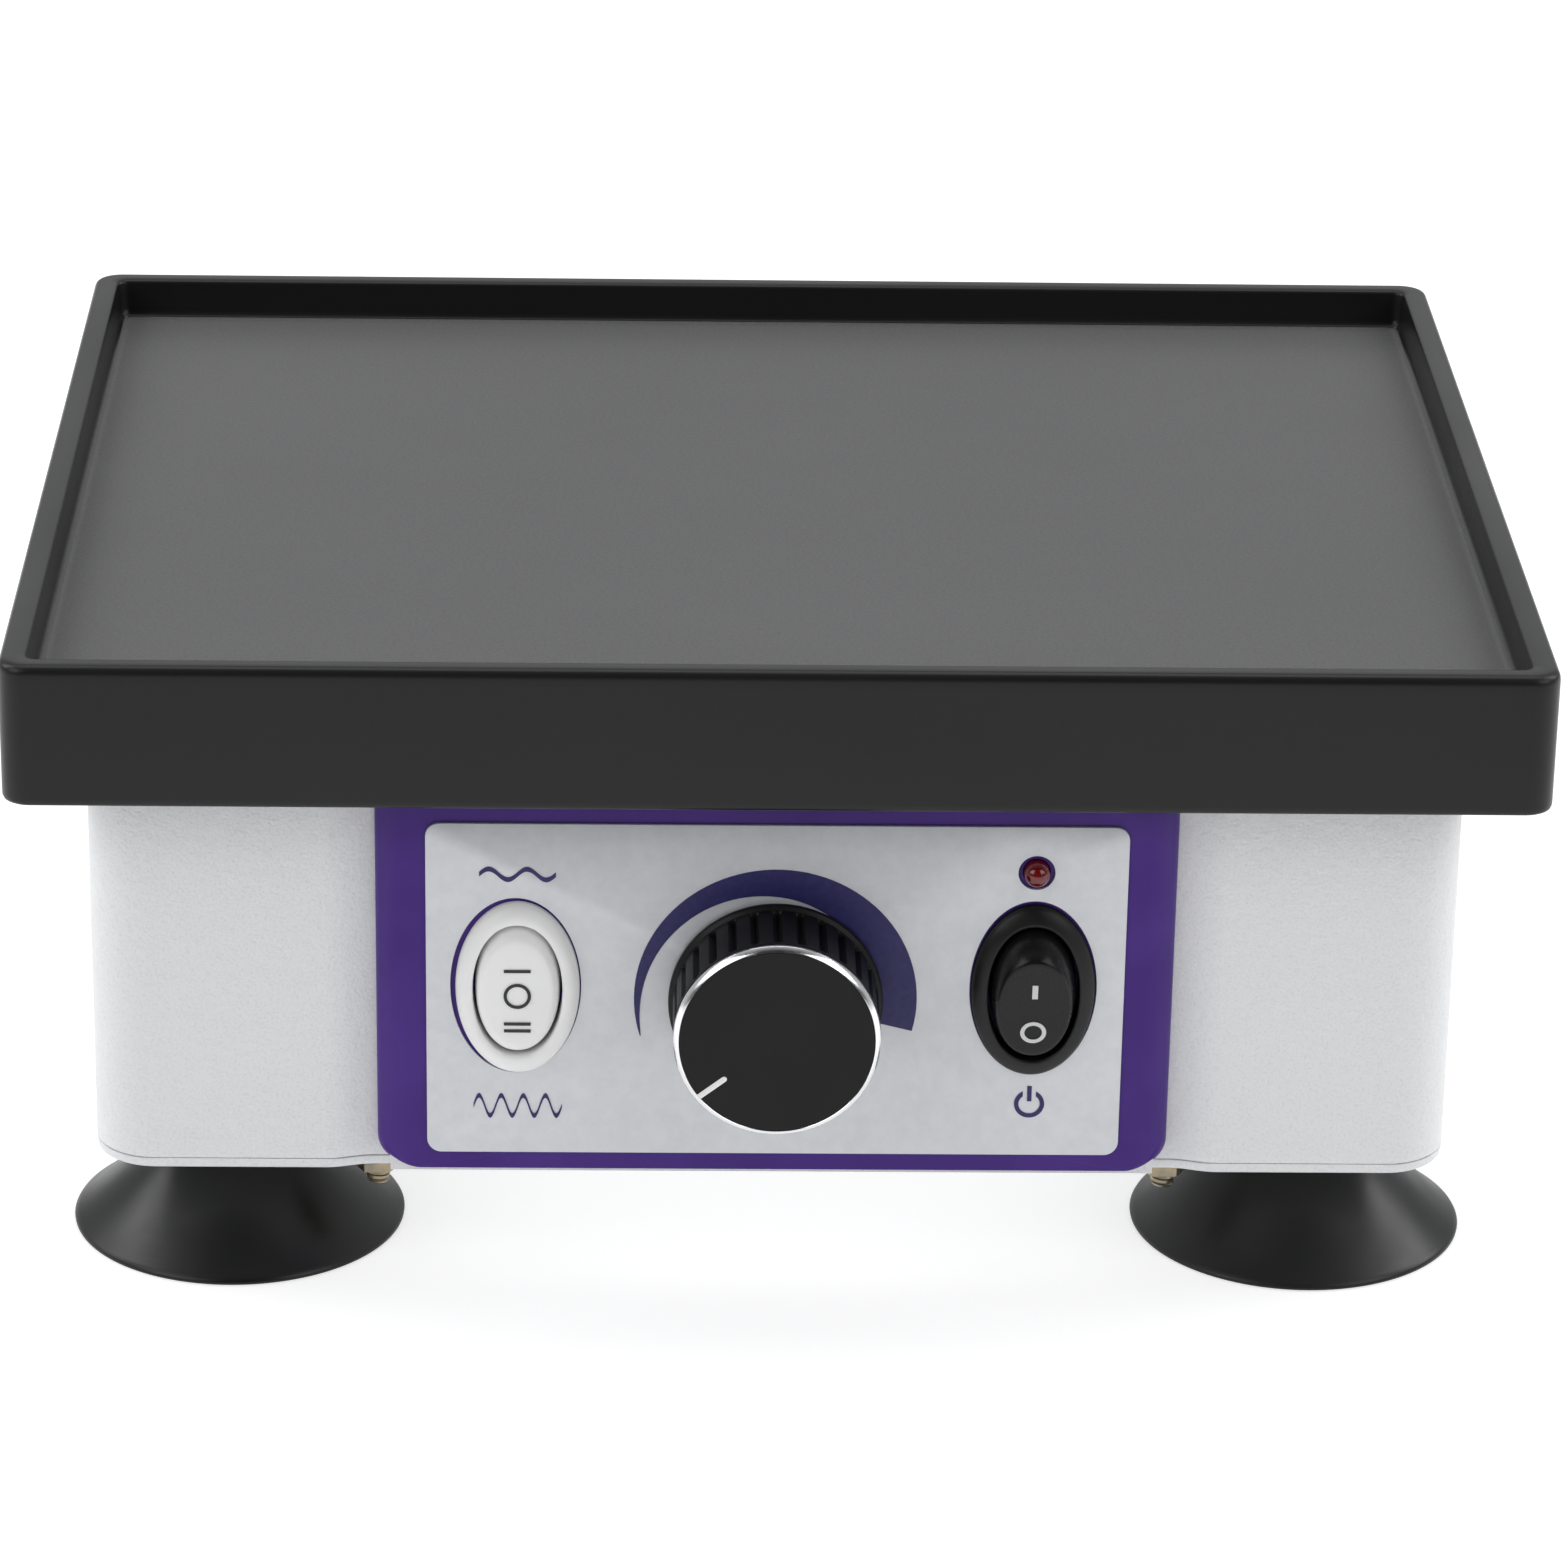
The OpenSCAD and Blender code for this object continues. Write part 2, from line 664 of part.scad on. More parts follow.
module platform() {
    color([0.74, 0.75, 0.76]) in_frame() translate([0, 0, platform_z]) difference() {
        round_block(tray_w - 2 * skirt_t - 1, tray_d - 2 * skirt_t - 1, platform_t, 2);
        corners(spring_x, spring_y) translate([0, 0, -1]) cylinder(r = 4, h = platform_t + 2, $fn = round_fn);
        corners(30, 13) {
            translate([0, 0, -1]) cylinder(r = m4_hole, h = platform_t + 2, $fn = round_fn);
            translate([0, 0, platform_t - 2.2]) cylinder(r = 4, h = 3, $fn = round_fn);
        }
    }
}

module armature() {
    color([0.35, 0.35, 0.36]) in_frame() difference() {
        translate([-3 * lam, -stack / 2, armature_z]) cube([6 * lam, stack, lam]);
        corners(30, 13) translate([0, 0, armature_z + 5]) cylinder(r = m4_r + 0.05, h = lam, $fn = round_fn);
    }
}

module armature_block() {
    color([0.78, 0.79, 0.8]) in_frame() difference() {
        translate([-42, -22, armature_top]) cube([84, 44, platform_z - armature_top]);
        corners(30, 13) translate([0, 0, armature_top - 1]) cylinder(r = m4_r + 0.05, h = 20, $fn = round_fn);
    }
}

module armature_screws() {
    color([0.75, 0.75, 0.76]) in_frame() corners(30, 13) {
        translate([0, 0, armature_z + 5]) cylinder(r = m4_r, h = platform_top - 2.2 - armature_z - 5, $fn = round_fn);
        translate([0, 0, platform_top - 2.2]) cylinder(r = 4, h = 2.2, $fn = round_fn);
    }
}

module tray_cover() {
    color([0.2, 0.2, 0.21]) in_frame() difference() {
        translate([0, 0, skirt_z]) round_block(tray_w, tray_d, skirt_h, tray_r);
        translate([0, 0, floor_z]) round_block(tray_w - 2 * rim_w, tray_d - 2 * rim_w, recess_h + 1, 2);
        translate([0, 0, skirt_z - 1])
            round_block(tray_w - 2 * skirt_t, tray_d - 2 * skirt_t, platform_top - skirt_z + 1, 2.5);
    }
}

// ---- Speed control ----

module circuit_board() {
    color([0.1, 0.35, 0.2]) in_frame() translate([0, board_y, board_z]) linear_extrude(board_t) difference() {
        square([84, 26], center = true);
        corners(38, 9.5) circle(1.6, $fn = round_fn);
    }
}

module board_standoffs() {
    color([0.8, 0.7, 0.45]) in_frame() translate([0, board_y, 0]) corners(38, 9.5) {
        translate([0, 0, case_z]) hex(5, board_z - case_z);
        translate([0, 0, board_z]) cylinder(r = 1.5, h = board_t, $fn = round_fn);
        translate([0, 0, board_top]) cylinder(r = 2.8, h = 1.8, $fn = round_fn);
    }
}

module heat_sink() {
    color([0.75, 0.76, 0.77]) in_frame() translate([14, -46, board_top]) {
        cube([20, 2, 22]);
        for (i = [0:4]) translate([i * 4.5, 2, 0]) cube([2, 6, 22]);
    }
}

module triac() {
    color([0.12, 0.12, 0.13]) in_frame() translate([19, -50.5, board_top]) {
        translate([0, 0, 3]) cube([10, 4.5, 15]);
        for (i = [0:2]) translate([2 + i * 2.5, 2, 0]) cube([1, 1, 3]);
    }
}

module capacitor() {
    color([0.75, 0.25, 0.12]) in_frame() translate([14, -59, board_top]) cube([18, 6, 6.5]);
}

module fuse_holder() {
    color([0.8, 0.8, 0.81]) in_frame() for (x = [-12, 6]) translate([x, -58, board_top]) difference() {
        cube([6, 7, 7]);
        translate([-1, 3.5, 4]) rotate([0, 90, 0]) cylinder(r = 2.6, h = 8, $fn = round_fn);
        translate([-1, 1.9, 4]) cube([8, 3.2, 4]);
    }
}

module fuse() {
    color([0.85, 0.9, 0.92]) in_frame() translate([-11, -54.5, board_top + 4]) rotate([0, 90, 0])
        cylinder(r = 2.6, h = 22, $fn = round_fn);
}

module terminal_block() {
    color([0.1, 0.45, 0.25]) in_frame() translate([-34.5, -58.5, board_top]) difference() {
        cube([21, 9, 11]);
        for (i = [0:3]) translate([3 + i * 5, 4.5, 6]) cylinder(r = 1.8, h = 6, $fn = round_fn);
    }
}

// ---- Mains inlet ----

module pin_faces() {
    for (x = [-7, 7]) translate([x, -2]) square([2, 4], center = true);
    translate([0, 2]) square([2, 4], center = true);
}

module inlet_socket() {
    color([0.1, 0.1, 0.11]) in_frame() difference() {
        union() {
            upright(back_y + 2.5, 2.5) translate([inlet_x, inlet_z]) round_rect(50, 23, 3);
            upright(back_y, 17.5) translate([inlet_x, inlet_z]) square([27, 20], center = true);
        }
        upright(back_y + 3, 16.5) translate([inlet_x, inlet_z]) polygon([[-12.3, -8.3], [12.3, -8.3],
            [12.3, 4.8], [8.8, 8.3], [-8.8, 8.3], [-12.3, 4.8]]);
        upright(back_y, 20) translate([inlet_x, inlet_z]) pin_faces();
        for (s = [-1, 1]) rod_y(inlet_x + s * inlet_pitch / 2, back_y + 4, inlet_z, 1.65, 8);
    }
}

module inlet_pins() {
    color([0.8, 0.7, 0.45]) in_frame() upright(back_y - 3.6, 19) translate([inlet_x, inlet_z]) pin_faces();
}

module inlet_screws() {
    color([0.75, 0.75, 0.76]) in_frame() for (s = [-1, 1]) translate([inlet_x + s * inlet_pitch / 2, 0, inlet_z]) {
        rod_y(0, back_y + 4.1, 0, 2.8, 1.6);
        rod_y(0, back_y + 2.5, 0, 1.5, 10);
        translate([0, back_y - wall, 0]) rotate([90, 0, 0]) hex(5.5, 2.4);
    }
}

// ---- Internal wiring ----

module live_lead() {
    color([0.45, 0.25, 0.12]) in_frame() lead(live_route);
}

module neutral_lead() {
    color([0.15, 0.3, 0.7]) in_frame() lead(neutral_route);
}

module earth_lead() {
    color([0.4, 0.65, 0.2]) in_frame() {
        lead(earth_route);
        translate([-20, 45, case_z]) cylinder(r = 3.4, h = 2.4, $fn = round_fn);
    }
}

module coil_leads() {
    color([0.7, 0.1, 0.1]) in_frame() {
        lead(coil_route_a);
        lead(coil_route_b);
    }
}

housing();
base_plate();
fascia();
label_plate();
scale_arc();
panel_symbols();
foot(-1, -1);  // foot_front_left
foot(1, -1);  // foot_front_right
foot(-1, 1);  // foot_rear_left
foot(1, 1);  // foot_rear_right
foot_studs();
foot_nuts();
tie_bolts();
tie_nuts();
mode_switch();
power_switch();
switch_terminals();
led();
potentiometer();
pot_nut();
pot_shaft();
knob();
knob_ring();
knob_pointer();
mode_rocker();
mode_marks();
power_rocker();
power_marks();
magnet_core();
coil_bobbin();
coil_winding();
magnet_frame();
magnet_bolts();
frame_screws();
spring_posts();
spring_caps();
spring(-1, -1);  // spring_front_left
spring(1, -1);  // spring_front_right
spring(-1, 1);  // spring_rear_left
spring(1, 1);  // spring_rear_right
platform();
armature();
armature_block();
armature_screws();
tray_cover();
circuit_board();
board_standoffs();
heat_sink();
triac();
capacitor();
fuse_holder();
fuse();
terminal_block();
inlet_socket();
inlet_pins();
inlet_screws();
live_lead();
neutral_lead();
earth_lead();
coil_leads();
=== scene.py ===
# Looks for a bench vibrator with a rubber-covered tray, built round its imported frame.
# Metres, +Z up, the controls face -Y. The file follows the machine as it is put together.

import math

import bmesh
import bpy
from mathutils import Matrix, Vector


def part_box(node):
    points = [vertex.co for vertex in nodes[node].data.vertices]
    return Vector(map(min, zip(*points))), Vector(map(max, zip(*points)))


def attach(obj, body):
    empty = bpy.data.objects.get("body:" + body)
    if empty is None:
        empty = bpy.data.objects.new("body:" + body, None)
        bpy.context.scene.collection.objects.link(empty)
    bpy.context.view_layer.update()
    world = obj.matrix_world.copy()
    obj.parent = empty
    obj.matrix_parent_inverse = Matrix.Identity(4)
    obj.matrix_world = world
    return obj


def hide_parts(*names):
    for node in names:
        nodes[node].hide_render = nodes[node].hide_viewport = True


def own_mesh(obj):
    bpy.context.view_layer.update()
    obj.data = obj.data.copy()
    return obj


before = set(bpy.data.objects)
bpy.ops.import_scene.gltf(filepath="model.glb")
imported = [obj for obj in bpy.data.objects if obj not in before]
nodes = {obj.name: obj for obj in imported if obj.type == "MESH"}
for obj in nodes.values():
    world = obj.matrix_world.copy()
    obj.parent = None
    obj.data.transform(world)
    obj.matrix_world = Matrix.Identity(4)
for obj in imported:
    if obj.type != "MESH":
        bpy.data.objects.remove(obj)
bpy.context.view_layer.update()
scene = bpy.context.scene
MM = 0.001


# ---- Camera, floor and lights ----
# A long lens looks down on the front of the machine from just left of its middle.
# The floor is a pale plane that glows. The glow is painted light that fills in the shadows under the machine
# and lights it from below.
# Its colour and glow fall off towards the front, a painted shade that darkens what the machine's fronts
# reflect.
# The rest of the light comes from large soft boxes.
# The studio is darker ahead of the machine, so that its front keeps its depth.

view_pitch = math.radians(23.084)
view_yaw = math.radians(1.498)
view_roll = math.radians(0.984)
forward = Vector((math.sin(view_yaw) * math.cos(view_pitch), math.cos(view_yaw) * math.cos(view_pitch),
                  -math.sin(view_pitch)))
level = Vector((math.cos(view_yaw), -math.sin(view_yaw), 0))
upward = level.cross(forward)
right = math.cos(view_roll) * level + math.sin(view_roll) * upward
over = -math.sin(view_roll) * level + math.cos(view_roll) * upward
lens = bpy.data.cameras.new("camera")
lens.lens = 143.004
lens.sensor_width = 36
lens.clip_start = 0.05
lens.clip_end = 30
camera = bpy.data.objects.new("camera", lens)
turn = Matrix((right, over, -forward)).transposed()
camera.matrix_world = Matrix.Translation((-0.022486, -0.972567, 0.467417)) @ turn.to_4x4()
scene.collection.objects.link(camera)
scene.camera = camera
scene.view_settings.view_transform = "Standard"

world = bpy.data.worlds.new("studio")
world.use_nodes = True
sky = world.node_tree
direction = sky.nodes.new("ShaderNodeTexCoord")
split = sky.nodes.new("ShaderNodeSeparateXYZ")
sky.links.new(direction.outputs["Generated"], split.inputs[0])
ahead = sky.nodes.new("ShaderNodeMapRange")
ahead.inputs["From Min"].default_value, ahead.inputs["From Max"].default_value = -0.1, -0.55
ahead.inputs["To Min"].default_value, ahead.inputs["To Max"].default_value = 0.5, 0.03
sky.links.new(split.outputs["Y"], ahead.inputs["Value"])
sky.nodes["Background"].inputs["Color"].default_value = (0.96, 0.98, 1.0, 1)
sky.links.new(ahead.outputs["Result"], sky.nodes["Background"].inputs["Strength"])
scene.world = world


def soft_box(name, place, target, width, height, power):
    """A rectangular area light turned towards a target."""
    light = bpy.data.lights.new(name, "AREA")
    light.shape = "RECTANGLE"
    light.size, light.size_y = width, height
    light.energy = power
    box = bpy.data.objects.new(name, light)
    box.location = place
    box.rotation_euler = (Vector(target) - Vector(place)).to_track_quat("-Z", "Y").to_euler()
    scene.collection.objects.link(box)


soft_box("top_box", (0.0, 0.3, 1.5), (0, 0, 0.05), 1.2, 0.9, 5.3)
soft_box("front_left_box", (-1.05, -0.85, 0.9), (0, 0, 0.05), 1.0, 0.9, 6.4)
soft_box("front_right_box", (1.05, -0.85, 0.9), (0, 0, 0.05), 1.0, 0.9, 5.8)
soft_box("left_box", (-1.05, 0.25, 0.95), (0, 0, 0.08), 0.5, 0.9, 5)
soft_box("right_box", (1.05, 0.25, 0.95), (0, 0, 0.08), 0.5, 0.9, 5.5)
soft_box("back_box", (0.0, 1.5, 0.8), (0, 0, 0.1), 1.8, 0.5, 1.4)


def new_material(name, color, rough, metal=0.0):
    """A plain finish; returns the material with its node tree and its shader."""
    material = bpy.data.materials.new(name)
    material.use_nodes = True
    shader = material.node_tree.nodes["Principled BSDF"]
    shader.inputs["Base Color"].default_value = (*color, 1)
    shader.inputs["Roughness"].default_value = rough
    shader.inputs["Metallic"].default_value = metal
    material.diffuse_color = (*color, 1)
    return material, material.node_tree, shader


def grain(tree, scale, detail=3.0, rough=0.55, stretch=(1, 1, 1), kind="NOISE"):
    """A pattern fixed to the piece's own coordinates, as a value from 0 to 1."""
    place = tree.nodes.new("ShaderNodeTexCoord")
    mapping = tree.nodes.new("ShaderNodeMapping")
    mapping.inputs["Scale"].default_value = stretch
    tree.links.new(place.outputs["Object"], mapping.inputs["Vector"])
    if kind == "CELLS":
        texture = tree.nodes.new("ShaderNodeTexVoronoi")
        texture.inputs["Scale"].default_value = scale
        tree.links.new(mapping.outputs["Vector"], texture.inputs["Vector"])
        return texture.outputs["Distance"]
    texture = tree.nodes.new("ShaderNodeTexNoise")
    texture.inputs["Scale"].default_value = scale
    texture.inputs["Detail"].default_value = detail
    texture.inputs["Roughness"].default_value = rough
    tree.links.new(mapping.outputs["Vector"], texture.inputs["Vector"])
    return texture.outputs["Fac"]


def shade(tree, source, low, high, dark, light, socket):
    """Runs a colour from dark to light as the source goes from low to high."""
    ramp = tree.nodes.new("ShaderNodeValToRGB")
    ramp.color_ramp.elements[0].position = low
    ramp.color_ramp.elements[0].color = (*dark, 1)
    ramp.color_ramp.elements[1].position = high
    ramp.color_ramp.elements[1].color = (*light, 1)
    tree.links.new(source, ramp.inputs["Fac"])
    tree.links.new(ramp.outputs["Color"], socket)


def spread(tree, source, low, high, socket):
    """Makes a value socket wander between low and high."""
    span = tree.nodes.new("ShaderNodeMapRange")
    span.inputs["From Min"].default_value = 0.3
    span.inputs["From Max"].default_value = 0.7
    span.inputs["To Min"].default_value = low
    span.inputs["To Max"].default_value = high
    tree.links.new(source, span.inputs["Value"])
    tree.links.new(span.outputs["Result"], socket)


def emboss(tree, shader, source, strength, depth):
    """Adds a bump on top of those the material already has."""
    bump = tree.nodes.new("ShaderNodeBump")
    bump.inputs["Strength"].default_value = strength
    bump.inputs["Distance"].default_value = depth
    tree.links.new(source, bump.inputs["Height"])
    if shader.inputs["Normal"].links:
        tree.links.new(shader.inputs["Normal"].links[0].from_socket, bump.inputs["Normal"])
    tree.links.new(bump.outputs["Normal"], shader.inputs["Normal"])


# The floor's material is pale, and its glow is painted light.
studio_white, studio_tree, studio_shader = new_material("studio_white", (0.6, 0.6, 0.6), 0.9)
studio_shader.inputs["Emission Color"].default_value = (1, 1, 1, 1)
floor_place = studio_tree.nodes.new("ShaderNodeTexCoord")
floor_split = studio_tree.nodes.new("ShaderNodeSeparateXYZ")
studio_tree.links.new(floor_place.outputs["Object"], floor_split.inputs[0])
# Colour and glow fall off towards the front (-Y): painted shade on the floor, so the fronts reflect darker.
for near_glow, far_glow, socket in ((0.4, 0.6, "Base Color"), (0.42, 0.6, "Emission Strength")):
    front_falloff = studio_tree.nodes.new("ShaderNodeMapRange")
    front_falloff.inputs["From Min"].default_value, front_falloff.inputs["From Max"].default_value = -0.6, -0.2
    front_falloff.inputs["To Min"].default_value, front_falloff.inputs["To Max"].default_value = near_glow, far_glow
    studio_tree.links.new(floor_split.outputs["Y"], front_falloff.inputs["Value"])
    studio_tree.links.new(front_falloff.outputs["Result"], studio_shader.inputs[socket])
floor_mesh = bpy.data.meshes.new("floor")
floor_mesh.from_pydata([(-4, -4, 0), (4, -4, 0), (4, 4, 0), (-4, 4, 0)], [], [(0, 1, 2, 3)])
floor_mesh.materials.append(studio_white)
floor = bpy.data.objects.new("floor", floor_mesh)
scene.collection.objects.link(floor)


# ---- Tray cover ----
# One moulded sheet of black rubber that pulls over the platform like a lid.
# A rounded bead runs round its rim, and a shallow step hides under it on the outside.

tray_low, tray_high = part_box("tray_cover")
tray_mid = Vector(((tray_low.x + tray_high.x) / 2, (tray_low.y + tray_high.y) / 2))
tray_width = tray_high.x - tray_low.x
tray_depth = tray_high.y - tray_low.y


def rounded_outline(width, depth, radius, steps=8, guard=0.0006, runs=5):
    """Points counter-clockwise round a rectangle with round corners, close together beside each corner."""
    arcs = []
    for corner, (sx, sy) in enumerate(((1, 1), (-1, 1), (-1, -1), (1, -1))):
        middle = Vector((sx * (width / 2 - radius), sy * (depth / 2 - radius)))
        arcs.append([middle + radius * Vector((math.cos(a), math.sin(a))) for a in
                     (math.radians(90 * corner + 90 * i / steps) for i in range(steps + 1))])
    points = []
    for corner in range(4):
        start, end = arcs[corner][-1], arcs[(corner + 1) % 4][0]
        points += arcs[corner]
        length = (end - start).length
        stops = [guard] + [length * i / runs for i in range(1, runs)] + [length - guard]
        points += [start + (end - start) * (s / length) for s in stops]
    return points


def skin(name, rings, first_cap=True, last_cap=True):
    """A closed mesh through rings of equal length, with a fan over each end."""
    count = len(rings[0])
    points = [p for ring in rings for p in ring]
    faces = []
    for row in range(len(rings) - 1):
        for i in range(count):
            j = (i + 1) % count
            faces.append((row * count + i, row * count + j, (row + 1) * count + j, (row + 1) * count + i))
    for capped, row in ((first_cap, 0), (last_cap, len(rings) - 1)):
        if capped:
            points.append(sum(rings[row], Vector((0, 0, 0))) / count)
            hub = len(points) - 1
            for i in range(count):
                faces.append((hub, row * count + i, row * count + (i + 1) % count))
    mesh = bpy.data.meshes.new(name)
    mesh.from_pydata([tuple(p) for p in points], [], faces)
    shell = bmesh.new()
    shell.from_mesh(mesh)
    bmesh.ops.recalc_face_normals(shell, faces=shell.faces)
    shell.to_mesh(mesh)
    shell.free()
    piece = bpy.data.objects.new(name, mesh)
    scene.collection.objects.link(piece)
    return piece


def soften(piece, angle=35):
    """Smooth shading, with edges sharper than the angle kept crisp."""
    piece.data.polygons.foreach_set("use_smooth", [True] * len(piece.data.polygons))
    piece.data.set_sharp_from_angle(angle=math.radians(angle))
    return piece


def fit(piece, material, body, slot, *replaced):
    """Gives a finished piece its material, its moving body and the frame nodes it stands for."""
    if material is not None:
        piece.data.materials.clear()
        piece.data.materials.append(material)
    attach(piece, body)
    if replaced:
        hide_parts(*replaced)
    return piece


rubber, rubber_tree, rubber_shader = new_material("tray_rubber", (0.0105, 0.0103, 0.0108), 0.42)
rubber_shader.inputs["Specular IOR Level"].default_value = 0.28
spread(rubber_tree, grain(rubber_tree, 14, 4), 0.26, 0.36, rubber_shader.inputs["Roughness"])
emboss(rubber_tree, rubber_shader, grain(rubber_tree, 2600, 2), 0.12, 0.00008)
emboss(rubber_tree, rubber_shader, grain(rubber_tree, 90, 3), 0.05, 0.0006)

# The tray's floor is the same black rubber, rougher in finish. Its mid-grey colour is a painted sheen for the
# light it catches from above.
sheen_painted_rubber, sheen_painted_tree, sheen_painted_shader = new_material("tray_floor_rubber", (0.13, 0.13, 0.131), 0.62)
shade(sheen_painted_tree, grain(sheen_painted_tree, 1900, 4, 0.7), 0.3, 0.72, (0.084, 0.084, 0.085),
      (0.122, 0.122, 0.123), sheen_painted_shader.inputs["Base Color"])
sheen_painted_shader.inputs["Specular IOR Level"].default_value = 0.35
spread(sheen_painted_tree, grain(sheen_painted_tree, 9, 4), 0.56, 0.68, sheen_painted_shader.inputs["Roughness"])
emboss(sheen_painted_tree, sheen_painted_shader, grain(sheen_painted_tree, 2400, 3, 0.7), 0.3, 0.00012)

rim, hem = tray_high.z / MM, tray_low.z / MM
floor_inset, floor_drop = 5.3 * MM, 7.5 * MM
tray_section = [
    (3.6, rim - 9.4), (3.1, rim - 9.6), (3.0, rim - 10.2), (3.0, hem + 2.2), (2.9, hem + 0.5),
    (2.6, hem + 0.1), (2.2, hem), (1.0, hem), (0.55, hem + 0.08), (0.2, hem + 0.3), (0.03, hem + 0.75),
    (0.0, hem + 1.4), (0.0, hem + 8), (0.0, rim - 3.0), (0.0, rim - 1.6), (0.05, rim - 1.15),
    (0.17, rim - 0.78), (0.38, rim - 0.45), (0.68, rim - 0.2), (1.05, rim - 0.06), (1.45, rim - 0.01),
    (2.5, rim), (3.1, rim - 0.05), (3.6, rim - 0.14), (3.95, rim - 0.24), (4.15, rim - 0.4),
    (4.25, rim - 0.75), (4.32, rim - 2.4), (4.45, rim - 5.2), (4.6, rim - 6.0), (4.9, rim - 6.45),
    (5.25, rim - 6.62), (5.55, rim - 6.6), (5.8, rim - 6.64), (6.1, rim - 6.78), (6.6, rim - 6.8),
    (9, rim - 6.8)]
tray_rings = []
for inset, height in tray_section:
    ring = rounded_outline(tray_width - 2 * inset * MM, tray_depth - 2 * inset * MM,
                           max(4.3 - 0.55 * inset, 1.6) * MM)
    tray_rings.append([Vector((p.x + tray_mid.x, p.y + tray_mid.y, height * MM)) for p in ring])
tray_cover = soften(skin("tray_cover_moulding", tray_rings), 50)
tray_cover.data.materials.append(rubber)
tray_cover.data.materials.append(sheen_painted_rubber)
# Floor faces inside the rim take the painted-sheen rubber; all other faces stay black.
for face in tray_cover.data.polygons:
    spot = face.center
    inner = (abs(spot.x) < tray_width / 2 - floor_inset
             and abs(spot.y - tray_mid.y) < tray_depth / 2 - floor_inset)
    face.material_index = 1 if inner and spot.z > tray_high.z - floor_drop else 0
fit(tray_cover, None, "tray_cover", "tray_rubber", "tray_cover")


# ---- Case ----
# A die-cast case in white hammered paint, with a shallow upright groove on each side of the front panel.
# It is open below; its deck has a window for the magnet and four holes for the springs.

case_low, case_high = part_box("housing")
fascia_low, fascia_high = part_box("fascia")
base_low, base_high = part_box("base_plate")
case_mid_y = (base_low.y + base_high.y) / 2
case_half = Vector((base_high.x, (base_high.y - base_low.y) / 2))
pad_half = 61 * MM
groove_floor = base_low.y + 1.5 * MM
groove_steps = 14
corner_round = 10 * MM
corner_steps = 14
edge_round = 1.0 * MM


def arc_points(middle, radius, start, end, steps):
    """Points along an arc between two angles in degrees."""
    return [middle + radius * Vector((math.cos(a), math.sin(a))) for a in
            (math.radians(start + (end - start) * i / steps) for i in range(steps + 1))]


def case_outline():
    """Right half from the middle of the front round to the middle of the back, then its mirror image."""
    front = base_low.y
    half = [Vector((0, case_low.y)), Vector((pad_half * 0.5, case_low.y)), Vector((pad_half, case_low.y)),
            Vector((pad_half, groove_floor - 0.2 * MM)), Vector((pad_half + 0.2 * MM, groove_floor))]
    for i in range(groove_steps + 1):
        rise = i / groove_steps
        half.append(Vector((pad_half + (2.4 + 8 * rise) * MM,
                            front + (groove_floor - front) * (0.5 + 0.5 * math.cos(math.pi * rise)))))
    half += [Vector((82 * MM, front)), Vector((97.8 * MM, front))]
    half += arc_points(Vector((case_half.x - corner_round, front + corner_round)), corner_round,
                       270, 360, corner_steps)
    half += [Vector((case_half.x, y)) for y in (front + corner_round + 0.7 * MM, case_mid_y - 30 * MM,
                                                case_mid_y + 30 * MM, base_high.y - corner_round - 0.7 * MM)]
    half += arc_points(Vector((case_half.x - corner_round, base_high.y - corner_round)), corner_round,
                       0, 90, corner_steps)
    half += [Vector((97.8 * MM, base_high.y)), Vector((50 * MM, base_high.y)), Vector((0, base_high.y))]
    return half + [Vector((-p.x, p.y)) for p in reversed(half[1:-1])]


def drawn_in(points, inset):
    """The same loop, moved inwards along its own normals."""
    moved = []
    for i, point in enumerate(points):
        along = (points[(i + 1) % len(points)] - points[i - 1]).normalized()
        moved.append(point + inset * Vector((-along.y, along.x)))
    return moved


def edge_inset(height):
    """How far the rounded lower edge is drawn in at a height above the base."""
    rest = max(edge_round - height, 0)
    return edge_round - math.sqrt(edge_round ** 2 - rest ** 2)


def prism(outline, start, end, axis="Z"):
    """A closed solid between two planes across an axis, as a mesh object."""
    def place(p, t):
        return Vector((p[0], p[1], t)) if axis == "Z" else Vector((p[0], t, p[1]))
    return skin("cutter", [[place(p, start) for p in outline], [place(p, end) for p in outline]])


def disc(x, y, radius, count=48):
    """The outline of a round hole."""
    return [(x + radius * math.cos(2 * math.pi * i / count), y + radius * math.sin(2 * math.pi * i / count))
            for i in range(count)]


def oblong(x, y, width, height):
    """The outline of a rectangular hole."""
    return [(x - width / 2, y - height / 2), (x + width / 2, y - height / 2),
            (x + width / 2, y + height / 2), (x - width / 2, y + height / 2)]


def settle(piece):
    """Turns a piece with live modifiers into its finished mesh."""
    bpy.context.view_layer.update()
    finished = bpy.data.meshes.new_from_object(piece.evaluated_get(bpy.context.evaluated_depsgraph_get()))
    piece.modifiers.clear()
    old = piece.data
    piece.data = finished
    finished.name = piece.name
    bpy.data.meshes.remove(old)
    return piece


def merged(pieces):
    """Puts the meshes of several pieces into the first one, and removes the others."""
    joined = bmesh.new()
    for piece in pieces:
        joined.from_mesh(piece.data)
    joined.to_mesh(pieces[0].data)
    joined.free()
    for extra in pieces[1:]:
        bpy.data.objects.remove(extra)
    return pieces[0]


def cut(piece, cutters):
    """Takes a group of solids out of a piece."""
    tool = merged(cutters)
    carve = piece.modifiers.new("carve", "BOOLEAN")
    carve.operation = "DIFFERENCE"
    carve.solver = "EXACT"
    carve.object = tool
    settle(piece)
    bpy.data.objects.remove(tool)
    return piece


